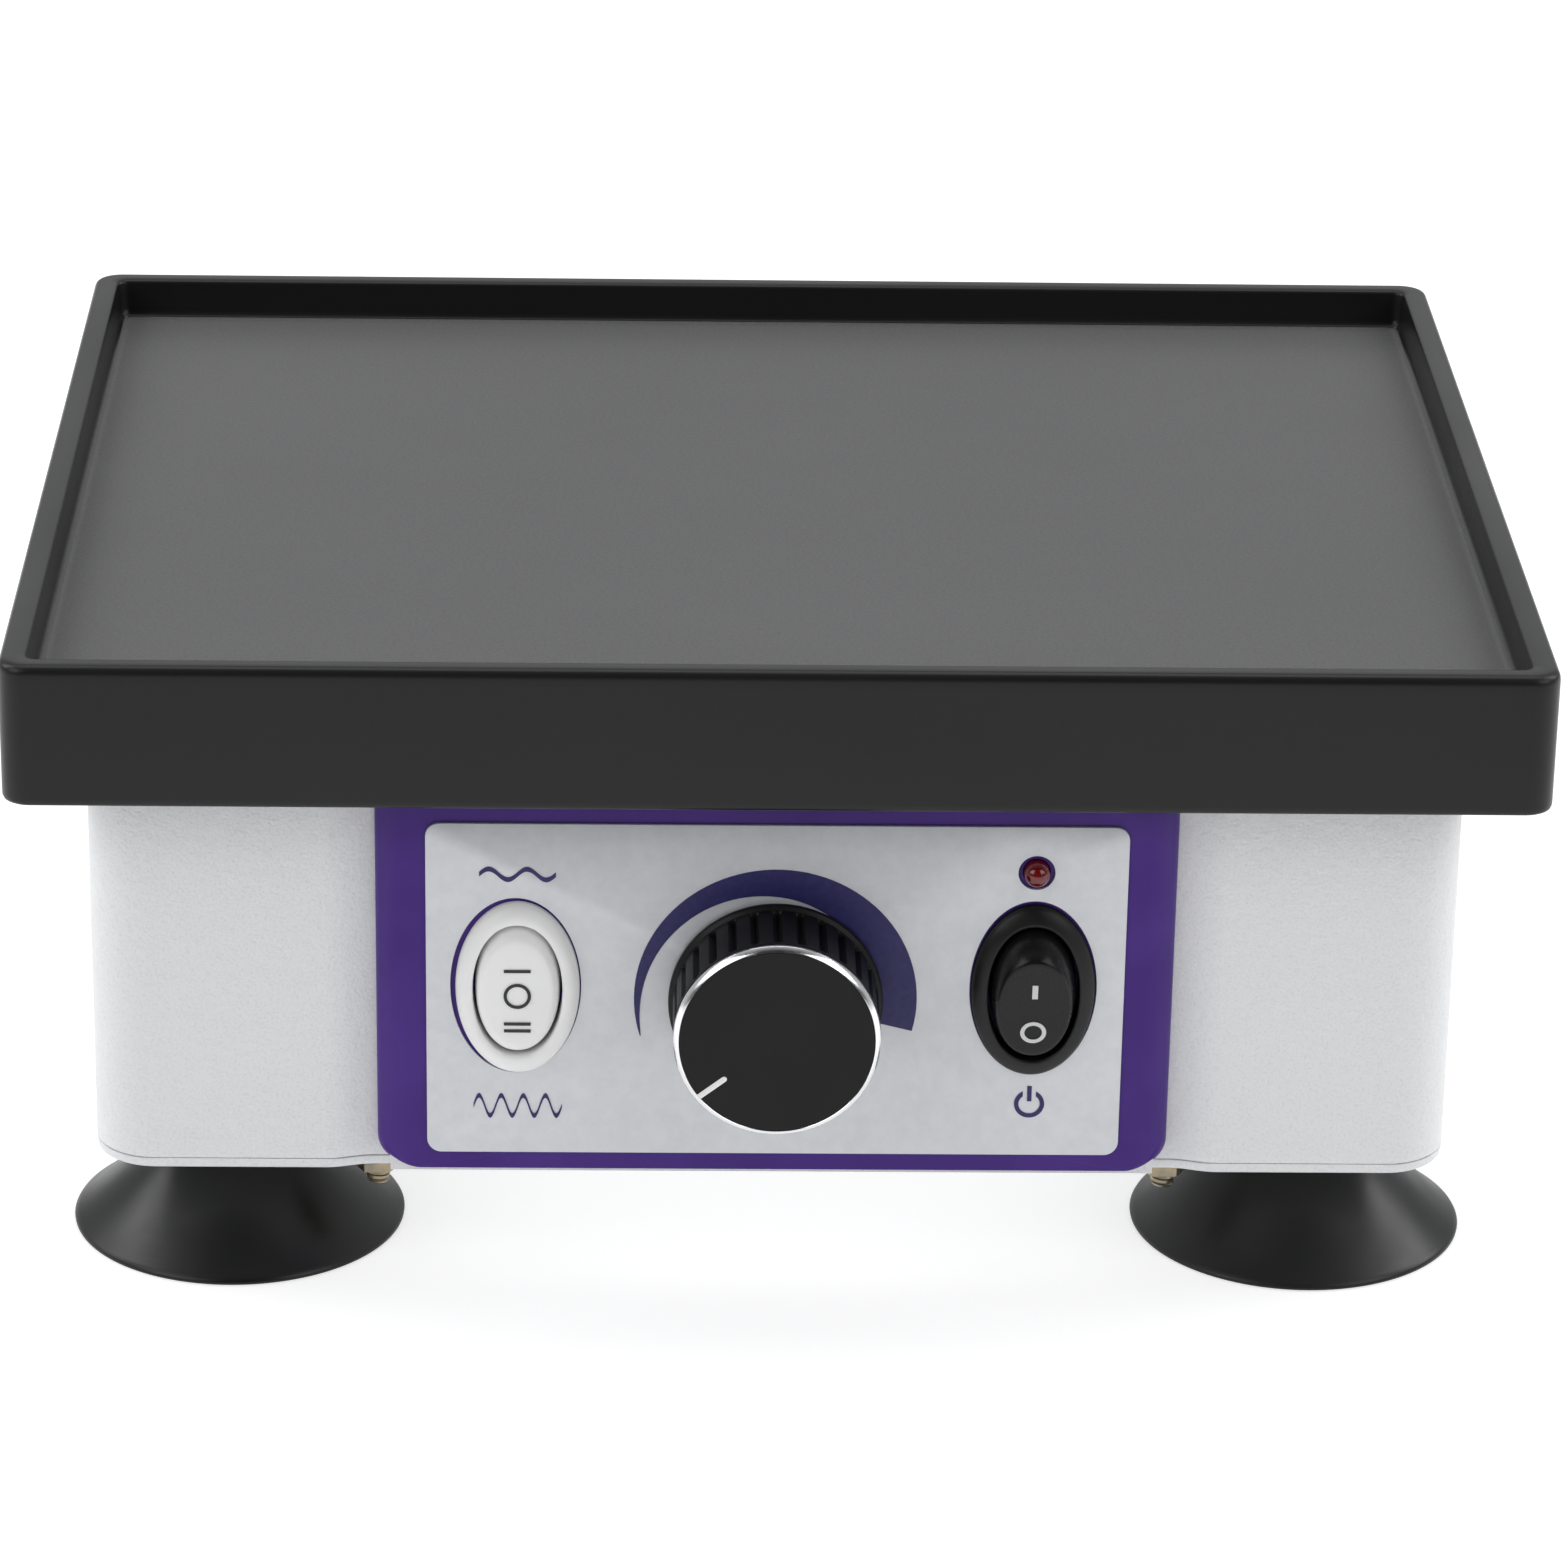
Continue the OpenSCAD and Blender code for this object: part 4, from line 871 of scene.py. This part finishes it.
knob_black, knob_tree, knob_shader = new_material("knob_black", (0.006, 0.0058, 0.0062), 0.42)
knob_shader.inputs["Specular IOR Level"].default_value = 0.22
spread(knob_tree, grain(knob_tree, 60, 3), 0.36, 0.48, knob_shader.inputs["Roughness"])
emboss(knob_tree, knob_shader, grain(knob_tree, 2200, 3), 0.14, 0.00006)

knob_section = [(0.5, 13.0), (3.04, 13.0), (3.04, 3.9), (9.5, 3.9), (9.5, 0.35), (16.3, 0.35), (16.75, 0.55),
                (16.9, 0.9), (16.9, 1.45), (16.7, 1.75), (16.35, 1.9), (16.2, 2.05), (16.2, 2.3)]
knob_section += [(16.2, 2.5 + 0.55 * i) for i in range(21)]
knob_section += [(16.2, 13.9), (16.18, 14.6), (16.05, 14.85), (15.9, knob_face - 1.1), (15.32, knob_face - 1.1),
                 (15.3, knob_face - 0.12), (15.2, knob_face - 0.04), (14.9, knob_face - 0.04),
                 (8, knob_face - 0.05), (0.3, knob_face - 0.05)]
knob_blank = turned("knob_blank", knob_section, knob_middle, "Y", grip_count * 14)

flute_tree, start, end = new_tree("flutes", [("Count", "Float"), ("Depth", "Float"), ("Width", "Float"),
                                             ("Axis Height", "Float"), ("Back", "Float"), ("First", "Float"),
                                             ("Last", "Float"), ("Material", "Material")])
spot = add(flute_tree, "GeometryNodeInputPosition")
parts = add(flute_tree, "ShaderNodeSeparateXYZ", {0: spot.outputs[0]})


def calc(tree, operation, a, b=None, c=None):
    """One arithmetic node; each input is a socket or a number."""
    node = tree.nodes.new("ShaderNodeMath")
    node.operation = operation
    for index, value in enumerate((a, b, c)):
        if isinstance(value, (int, float)):
            node.inputs[index].default_value = value
        elif value is not None:
            tree.links.new(value, node.inputs[index])
    return node.outputs[0]


local_z = calc(flute_tree, "SUBTRACT", parts.outputs["Z"], start.outputs["Axis Height"])
angle = calc(flute_tree, "ARCTAN2", local_z, parts.outputs["X"])
turns = calc(flute_tree, "MULTIPLY", calc(flute_tree, "DIVIDE", angle, 2 * math.pi), start.outputs["Count"])
phase = calc(flute_tree, "ABSOLUTE", calc(flute_tree, "SUBTRACT", calc(flute_tree, "FRACT",
             calc(flute_tree, "ADD", turns, 200.5)), 0.5))
hollow = calc(flute_tree, "SUBTRACT", 1.0, calc(flute_tree, "DIVIDE", phase, start.outputs["Width"]))
hollow = calc(flute_tree, "MAXIMUM", hollow, 0.0)
hollow = calc(flute_tree, "POWER", hollow, 0.6)
reach = calc(flute_tree, "SUBTRACT", start.outputs["Back"], parts.outputs["Y"])
after = calc(flute_tree, "GREATER_THAN", reach, start.outputs["First"])
before = calc(flute_tree, "LESS_THAN", reach, start.outputs["Last"])
radius = calc(flute_tree, "SQRT", calc(flute_tree, "ADD", calc(flute_tree, "MULTIPLY", local_z, local_z),
              calc(flute_tree, "MULTIPLY", parts.outputs["X"], parts.outputs["X"])))
outer = calc(flute_tree, "GREATER_THAN", radius, grip_inner)
amount = calc(flute_tree, "MULTIPLY", calc(flute_tree, "MULTIPLY", hollow, start.outputs["Depth"]),
              calc(flute_tree, "MULTIPLY", calc(flute_tree, "MULTIPLY", after, before), outer))
scale = calc(flute_tree, "DIVIDE", calc(flute_tree, "MULTIPLY", amount, -1.0), radius)
push = add(flute_tree, "ShaderNodeCombineXYZ", {"X": calc(flute_tree, "MULTIPLY", parts.outputs["X"], scale),
                                               "Z": calc(flute_tree, "MULTIPLY", local_z, scale)})
fluted = add(flute_tree, "GeometryNodeSetPosition", {"Geometry": start.outputs["Geometry"],
                                                    "Offset": push.outputs[0]})
close_tree(flute_tree, start, end, fluted.outputs[0])
blank_mesh = knob_blank.data
bpy.data.objects.remove(knob_blank)
knob = grow("speed_knob", blank_mesh, flute_tree, {
    "Count": float(grip_count), "Depth": 0.95 * MM, "Width": 0.17, "Axis Height": knob_z, "Back": knob_back,
    "First": 2.4 * MM, "Last": 13.6 * MM, "Material": knob_black})
fit(soften(knob, 38), None, "knob", "black_plastic", "knob")

chrome, chrome_tree, chrome_shader = new_material("polished_ring", (0.86, 0.86, 0.87), 0.16, 1.0)
spread(chrome_tree, grain(chrome_tree, 700, 2), 0.12, 0.22, chrome_shader.inputs["Roughness"])
emboss(chrome_tree, chrome_shader, grain(chrome_tree, 1500, 2), 0.05, 0.00003)
ring_loop = [(15.35, knob_face - 1.05), (16.05, knob_face - 1.05), (16.2, knob_face - 0.98),
             (16.2, knob_face - 0.85), (16.1, knob_face - 0.68), (15.5, knob_face - 0.06),
             (15.38, knob_face - 0.0), (15.32, knob_face - 0.05)]
ring_rings = []
for i in range(192):
    a = 2 * math.pi * i / 192
    ring_rings.append([knob_middle + Vector((r * MM * math.cos(a), -h * MM, r * MM * math.sin(a)))
                       for r, h in ring_loop])
ring_piece = skin("knob_ring_bright", ring_rings + [ring_rings[0]], False, False)
closed = bmesh.new()
closed.from_mesh(ring_piece.data)
bmesh.ops.remove_doubles(closed, verts=closed.verts, dist=1e-7)
bmesh.ops.recalc_face_normals(closed, faces=closed.faces)
closed.to_mesh(ring_piece.data)
closed.free()
fit(soften(ring_piece, 40), chrome, "knob", "bright_ring", "knob_ring")

line_loop = arc_points(Vector((10.4 * MM, 0)), 0.46 * MM, 90, 270, 8) + [
    Vector((15.34 * MM, -0.46 * MM)), Vector((15.34 * MM, 0.46 * MM))]
aim = math.radians(218)
line_rings = [[knob_middle + Vector((p.x * math.cos(aim) - p.y * math.sin(aim), -h * MM,
                                     p.x * math.sin(aim) + p.y * math.cos(aim)))
               for p in drawn_in(line_loop, g * MM)]
              for h, g in ((knob_face - 0.2, 0), (knob_face - 0.03, 0), (knob_face, 0.06))]
pointer = skin("knob_line", line_rings)
fit(soften(pointer, 40), white, "knob", "white_plastic", "knob_pointer")


# ---- Potentiometer ----
# The speed control: a plated can behind the panel with a threaded bush, a nut and a turned shaft.

plated, plated_tree, plated_shader = new_material("plated_steel", (0.62, 0.63, 0.65), 0.3, 1.0)
spread(plated_tree, grain(plated_tree, 300, 3), 0.24, 0.42, plated_shader.inputs["Roughness"])
emboss(plated_tree, plated_shader, grain(plated_tree, 800, 2, 0.5, (1, 1, 5)), 0.08, 0.00005)
eased("potentiometer", 0.25, plated, "case", "steel")
eased("pot_nut", 0.2, plated, "case", "steel")
eased("pot_shaft", 0.25, plated, "knob", "steel")


# ---- Feet hardware and posts ----
# Plated studs and nuts hold the cups; turned posts riveted to the base carry the springs.

eased("foot_studs", 0.3, plated, "case", "steel")
eased("foot_nuts", 0.25, plated, "case", "steel")
eased("spring_posts", 0.4, plated, "case", "steel")
eased("spring_caps", 0.4, plated, "platform", "steel")


# ---- Springs ----
# Four compression springs in oiled steel wire carry the platform; each is one wound wire.

spring_steel, spring_tree, spring_shader = new_material("spring_steel", (0.36, 0.37, 0.39), 0.34, 1.0)
spread(spring_tree, grain(spring_tree, 500, 3), 0.26, 0.46, spring_shader.inputs["Roughness"])

coil_tree, start, end = new_tree("spring", [("Radius", "Float"), ("Wire", "Float"), ("Turns", "Float"),
                                            ("Height", "Float"), ("Material", "Material")])
path = add(coil_tree, "GeometryNodeCurveSpiral", {"Rotations": start.outputs["Turns"],
           "Start Radius": start.outputs["Radius"], "End Radius": start.outputs["Radius"],
           "Height": start.outputs["Height"]}, {"Resolution": 28})
round_wire = add(coil_tree, "GeometryNodeCurvePrimitiveCircle", {"Radius": start.outputs["Wire"]},
                 {"Resolution": 12})
swept = add(coil_tree, "GeometryNodeCurveToMesh", {"Curve": path.outputs[0],
            "Profile Curve": round_wire.outputs[0]}, {"Fill Caps": True})
repeat(coil_tree, start, end, start.outputs["Geometry"], swept.outputs[0])

platform_travel, wire_radius = 1.5 * MM, 1.1 * MM
for corner in ("front_left", "front_right", "rear_left", "rear_right"):
    low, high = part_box("spring_" + corner)
    middle = ((low.x + high.x) / 2, (low.y + high.y) / 2)
    x = math.copysign(spring_aside, middle[0])
    y = case_mid_y + math.copysign(spring_along, middle[1] - case_mid_y)
    spring = grow("wound_spring_" + corner, [(x, y, low.z + wire_radius)], coil_tree,
                  {"Radius": 7.4 * MM, "Wire": wire_radius, "Turns": 7.0,
                   "Height": high.z - low.z - 2 * wire_radius, "Material": spring_steel})
    soften(spring, 50)
    fit(spring, None, "case", "spring_steel", "spring_" + corner)
    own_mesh(spring)


# ---- Electromagnet ----
# Stacks of thin varnished plates make the core and the armature.
# A bobbin of enamelled copper sits on the core, and a plated frame bolts the stack to the base.

lamination, lam_tree, lam_shader = new_material("lamination", (0.1, 0.1, 0.105), 0.4, 0.7)
shade(lam_tree, grain(lam_tree, 200, 3), 0.3, 0.7, (0.07, 0.07, 0.075), (0.14, 0.14, 0.15),
      lam_shader.inputs["Base Color"])
spread(lam_tree, grain(lam_tree, 350, 3), 0.32, 0.5, lam_shader.inputs["Roughness"])

stack_tree, start, end = new_tree("stack", [("Plate", "Object"), ("Count", "Int"), ("Step", "Float"),
                                            ("Material", "Material")])
step = add(stack_tree, "ShaderNodeCombineXYZ", {"Y": start.outputs["Step"]})
row = add(stack_tree, "GeometryNodeMeshLine", {"Count": start.outputs["Count"], "Offset": step.outputs[0]})
plate_info = add(stack_tree, "GeometryNodeObjectInfo", {"Object": start.outputs["Plate"]})
repeat(stack_tree, start, end, row.outputs[0], plate_info.outputs["Geometry"])
plate_count, plate_share = 38, 0.86


def stacked(name, plate, pitch, body, node):
    """A stack of copies of one thin plate along Y; the pattern plate is used up."""
    piece = grow(name, [(0, 0, 0)], stack_tree, {"Plate": plate, "Count": plate_count, "Step": pitch,
                                                 "Material": lamination})
    bpy.data.objects.remove(plate)
    return fit(soften(piece, 35), None, body, "lamination", node)


core_low, core_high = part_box("magnet_core")
unit = (core_high.x - core_low.x) / 6
e_shape = [(-3 * unit, 0), (3 * unit, 0), (3 * unit, 4 * unit), (2 * unit, 4 * unit), (2 * unit, unit),
           (unit, unit), (unit, 4 * unit), (-unit, 4 * unit), (-unit, unit), (-2 * unit, unit),
           (-2 * unit, 4 * unit), (-3 * unit, 4 * unit)]
e_loop = [(x, z + core_low.z) for x, z in e_shape]


def flat_prism(outline, start, end):
    """A solid of any flat outline across Y, with single-face ends, for outlines that bend inwards."""
    mesh = bpy.data.meshes.new("plate")
    count = len(outline)
    points = [(x, start, z) for x, z in outline] + [(x, end, z) for x, z in outline]
    faces = [tuple(range(count)), tuple(range(2 * count - 1, count - 1, -1))]
    faces += [(i, i + count, (i + 1) % count + count, (i + 1) % count) for i in range(count)]
    mesh.from_pydata(points, [], faces)
    shape = bmesh.new()
    shape.from_mesh(mesh)
    bmesh.ops.recalc_face_normals(shape, faces=shape.faces)
    shape.to_mesh(mesh)
    shape.free()
    piece = bpy.data.objects.new("plate", mesh)
    scene.collection.objects.link(piece)
    return piece


core_pitch = (core_high.y - core_low.y) / plate_count
core_plate = flat_prism(e_loop, core_low.y, core_low.y + core_pitch * plate_share)
cut(core_plate, [prism(disc(s * 2.5 * unit, core_low.z + unit / 2, m4_clear, 16), core_low.y - MM,
                       core_low.y + 2 * MM, "Y") for s in (-1, 1)])
stacked("core_laminations", core_plate, core_pitch, "case", "magnet_core")
arm_low, arm_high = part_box("armature")
arm_pitch = (arm_high.y - arm_low.y) / plate_count
arm_plate = prism([(arm_low.x, arm_low.z), (arm_high.x, arm_low.z), (arm_high.x, arm_high.z),
                   (arm_low.x, arm_high.z)], arm_low.y, arm_low.y + arm_pitch * plate_share, "Y")
stacked("armature_laminations", arm_plate, arm_pitch, "platform", "armature")

bobbin_plastic, bob_tree, bob_shader = new_material("bobbin_plastic", (0.6, 0.55, 0.4), 0.5)
shade(bob_tree, grain(bob_tree, 90, 3), 0.3, 0.7, (0.55, 0.5, 0.35), (0.64, 0.59, 0.44),
      bob_shader.inputs["Base Color"])
eased("coil_bobbin", 0.25, bobbin_plastic, "case", "bobbin_plastic")

copper, copper_tree, copper_shader = new_material("enamelled_copper", (0.5, 0.18, 0.06), 0.26, 0.9)
shade(copper_tree, grain(copper_tree, 260, 3), 0.3, 0.7, (0.42, 0.14, 0.045), (0.56, 0.21, 0.08),
      copper_shader.inputs["Base Color"])
spread(copper_tree, grain(copper_tree, 600, 2), 0.2, 0.34, copper_shader.inputs["Roughness"])

winding_tree, start, end = new_tree("winding", [("Loop", "Object"), ("Count", "Int"), ("Step", "Float"),
                                                ("Wire", "Float"), ("Material", "Material")])
loop_info = add(winding_tree, "GeometryNodeObjectInfo", {"Object": start.outputs["Loop"]})
loop_curve = add(winding_tree, "GeometryNodeMeshToCurve", {0: loop_info.outputs["Geometry"]})
wire_round = add(winding_tree, "GeometryNodeCurvePrimitiveCircle", {"Radius": start.outputs["Wire"]},
                 {"Resolution": 6})
one_turn = add(winding_tree, "GeometryNodeCurveToMesh", {"Curve": loop_curve.outputs[0],
               "Profile Curve": wire_round.outputs[0]})
climb = add(winding_tree, "ShaderNodeCombineXYZ", {"Z": start.outputs["Step"]})
row = add(winding_tree, "GeometryNodeMeshLine", {"Count": start.outputs["Count"], "Offset": climb.outputs[0]})
repeat(winding_tree, start, end, row.outputs[0], one_turn.outputs[0])

coil_low, coil_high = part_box("coil_winding")
coil_wide, coil_deep = coil_high.x - coil_low.x, coil_high.y - coil_low.y
coil_loop = rounded_outline(coil_wide - 1.0 * MM, coil_deep - 1.0 * MM, 5.5 * MM, 5, MM, 2)
loop_mesh = bpy.data.meshes.new("turn")
loop_mesh.from_pydata([(p.x, p.y + case_mid_y, coil_low.z + 0.55 * MM) for p in coil_loop],
                      [(i, (i + 1) % len(coil_loop)) for i in range(len(coil_loop))], [])
loop_object = bpy.data.objects.new("turn", loop_mesh)
scene.collection.objects.link(loop_object)
turns_up = int((coil_high.z - coil_low.z - 1.1 * MM) / (1.0 * MM)) + 1
winding = grow("coil_turns", [(0, 0, 0)], winding_tree,
               {"Loop": loop_object, "Count": turns_up, "Step": 1.0 * MM, "Wire": 0.5 * MM, "Material": copper})
bpy.data.objects.remove(loop_object)
fit(soften(winding, 60), None, "case", "copper_wire")
inner_loop = rounded_outline(coil_wide - 1.8 * MM, coil_deep - 1.8 * MM, 5 * MM, 5, MM, 2)
pack_piece = prism([(p.x, p.y + case_mid_y) for p in inner_loop], coil_low.z, coil_high.z)
pack_piece.name = "coil_pack"
cut(pack_piece, [prism(oblong(0, case_mid_y, 28.6 * MM, 41.2 * MM), coil_low.z - MM, coil_high.z + MM)])
fit(soften(pack_piece, 35), copper, "case", "copper_wire", "coil_winding")

eased("magnet_frame", 0.3, plated, "case", "steel")
eased("magnet_bolts", 0.25, plated, "case", "steel")
eased("frame_screws", 0.25, plated, "case", "steel")

cast, cast_tree, cast_shader = new_material("cast_aluminium", (0.6, 0.61, 0.62), 0.42, 1.0)
spread(cast_tree, grain(cast_tree, 240, 4), 0.34, 0.54, cast_shader.inputs["Roughness"])
emboss(cast_tree, cast_shader, grain(cast_tree, 700, 3), 0.2, 0.0001)
eased("armature_block", 0.4, cast, "platform", "aluminium_block")
eased("armature_screws", 0.2, plated, "platform", "steel")

sheet_steel, steel_tree, steel_shader = new_material("platform_steel", (0.5, 0.5, 0.51), 0.36, 1.0)
shade(steel_tree, grain(steel_tree, 30, 4), 0.3, 0.7, (0.44, 0.44, 0.45), (0.54, 0.54, 0.55),
      steel_shader.inputs["Base Color"])
spread(steel_tree, grain(steel_tree, 160, 3, 0.5, (1, 12, 1)), 0.28, 0.46, steel_shader.inputs["Roughness"])
emboss(steel_tree, steel_shader, grain(steel_tree, 420, 2, 0.5, (1, 14, 1)), 0.08, 0.00006)
eased("platform", 0.4, sheet_steel, "platform", "plate_steel")


# ---- Speed control board ----
# A small board on brass standoffs carries the switching device, its cooler, a fuse and the terminals.

board_green, board_tree, board_shader = new_material("board_green", (0.02, 0.12, 0.05), 0.35)
shade(board_tree, grain(board_tree, 330, 1, 0.5, (1, 0.25, 1), "CELLS"), 0.08, 0.2, (0.03, 0.17, 0.07),
      (0.018, 0.11, 0.045), board_shader.inputs["Base Color"])
eased("circuit_board", 0.12, board_green, "case", "board")
eased("board_standoffs", 0.2, contact, "case", "brass_contact")
eased("heat_sink", 0.2, cast, "case", "aluminium_block")
eased("triac", 0.2, black, "case", "black_plastic")
dipped, dip_tree, dip_shader = new_material("dipped_red", (0.4, 0.06, 0.03), 0.22)
shade(dip_tree, grain(dip_tree, 150, 3), 0.3, 0.7, (0.34, 0.05, 0.025), (0.46, 0.08, 0.04),
      dip_shader.inputs["Base Color"])
eased("capacitor", 0.9, dipped, "case", "capacitor_case", segments=3)
eased("fuse_holder", 0.15, plated, "case", "steel")
fuse_glass, fuse_tree, fuse_shader = new_material("fuse_glass", (0.85, 0.88, 0.88), 0.06)
fuse_shader.inputs["Transmission Weight"].default_value = 0.85
spread(fuse_tree, grain(fuse_tree, 300, 2), 0.04, 0.09, fuse_shader.inputs["Roughness"])
eased("fuse", 0.3, fuse_glass, "case", "fuse_glass")
block_green, block_tree, block_shader = new_material("terminal_green", (0.02, 0.2, 0.08), 0.45)
shade(block_tree, grain(block_tree, 200, 3), 0.3, 0.7, (0.017, 0.17, 0.065), (0.026, 0.24, 0.1),
      block_shader.inputs["Base Color"])
eased("terminal_block", 0.3, block_green, "case", "terminal_green")


# ---- Mains inlet ----
# A black moulded inlet is screwed into the back of the case, with three plain flat pins in its mouth.

eased("inlet_socket", 0.4, black, "case", "black_plastic", segments=3)
eased("inlet_pins", 0.25, contact, "case", "brass_contact")
eased("inlet_screws", 0.25, plated, "case", "steel")


# ---- Internal wiring ----
# Soft insulated leads run round the inside of the case to the switch, the board, the frame and the coil.

for node, slot_name, dark, light in (
        ("live_lead", "lead_brown", (0.12, 0.04, 0.016), (0.17, 0.06, 0.025)),
        ("neutral_lead", "lead_blue", (0.025, 0.07, 0.36), (0.04, 0.1, 0.45)),
        ("earth_lead", "lead_green", (0.08, 0.3, 0.04), (0.3, 0.36, 0.05)),
        ("coil_leads", "lead_red", (0.36, 0.025, 0.025), (0.45, 0.04, 0.04))):
    sheath, sheath_tree, sheath_shader = new_material(slot_name, light, 0.4)
    shade(sheath_tree, grain(sheath_tree, 120, 3), 0.3, 0.7, dark, light, sheath_shader.inputs["Base Color"])
    emboss(sheath_tree, sheath_shader, grain(sheath_tree, 900, 2), 0.08, 0.00006)
    eased(node, 0.02, sheath, "case", slot_name, angle=70, segments=1)
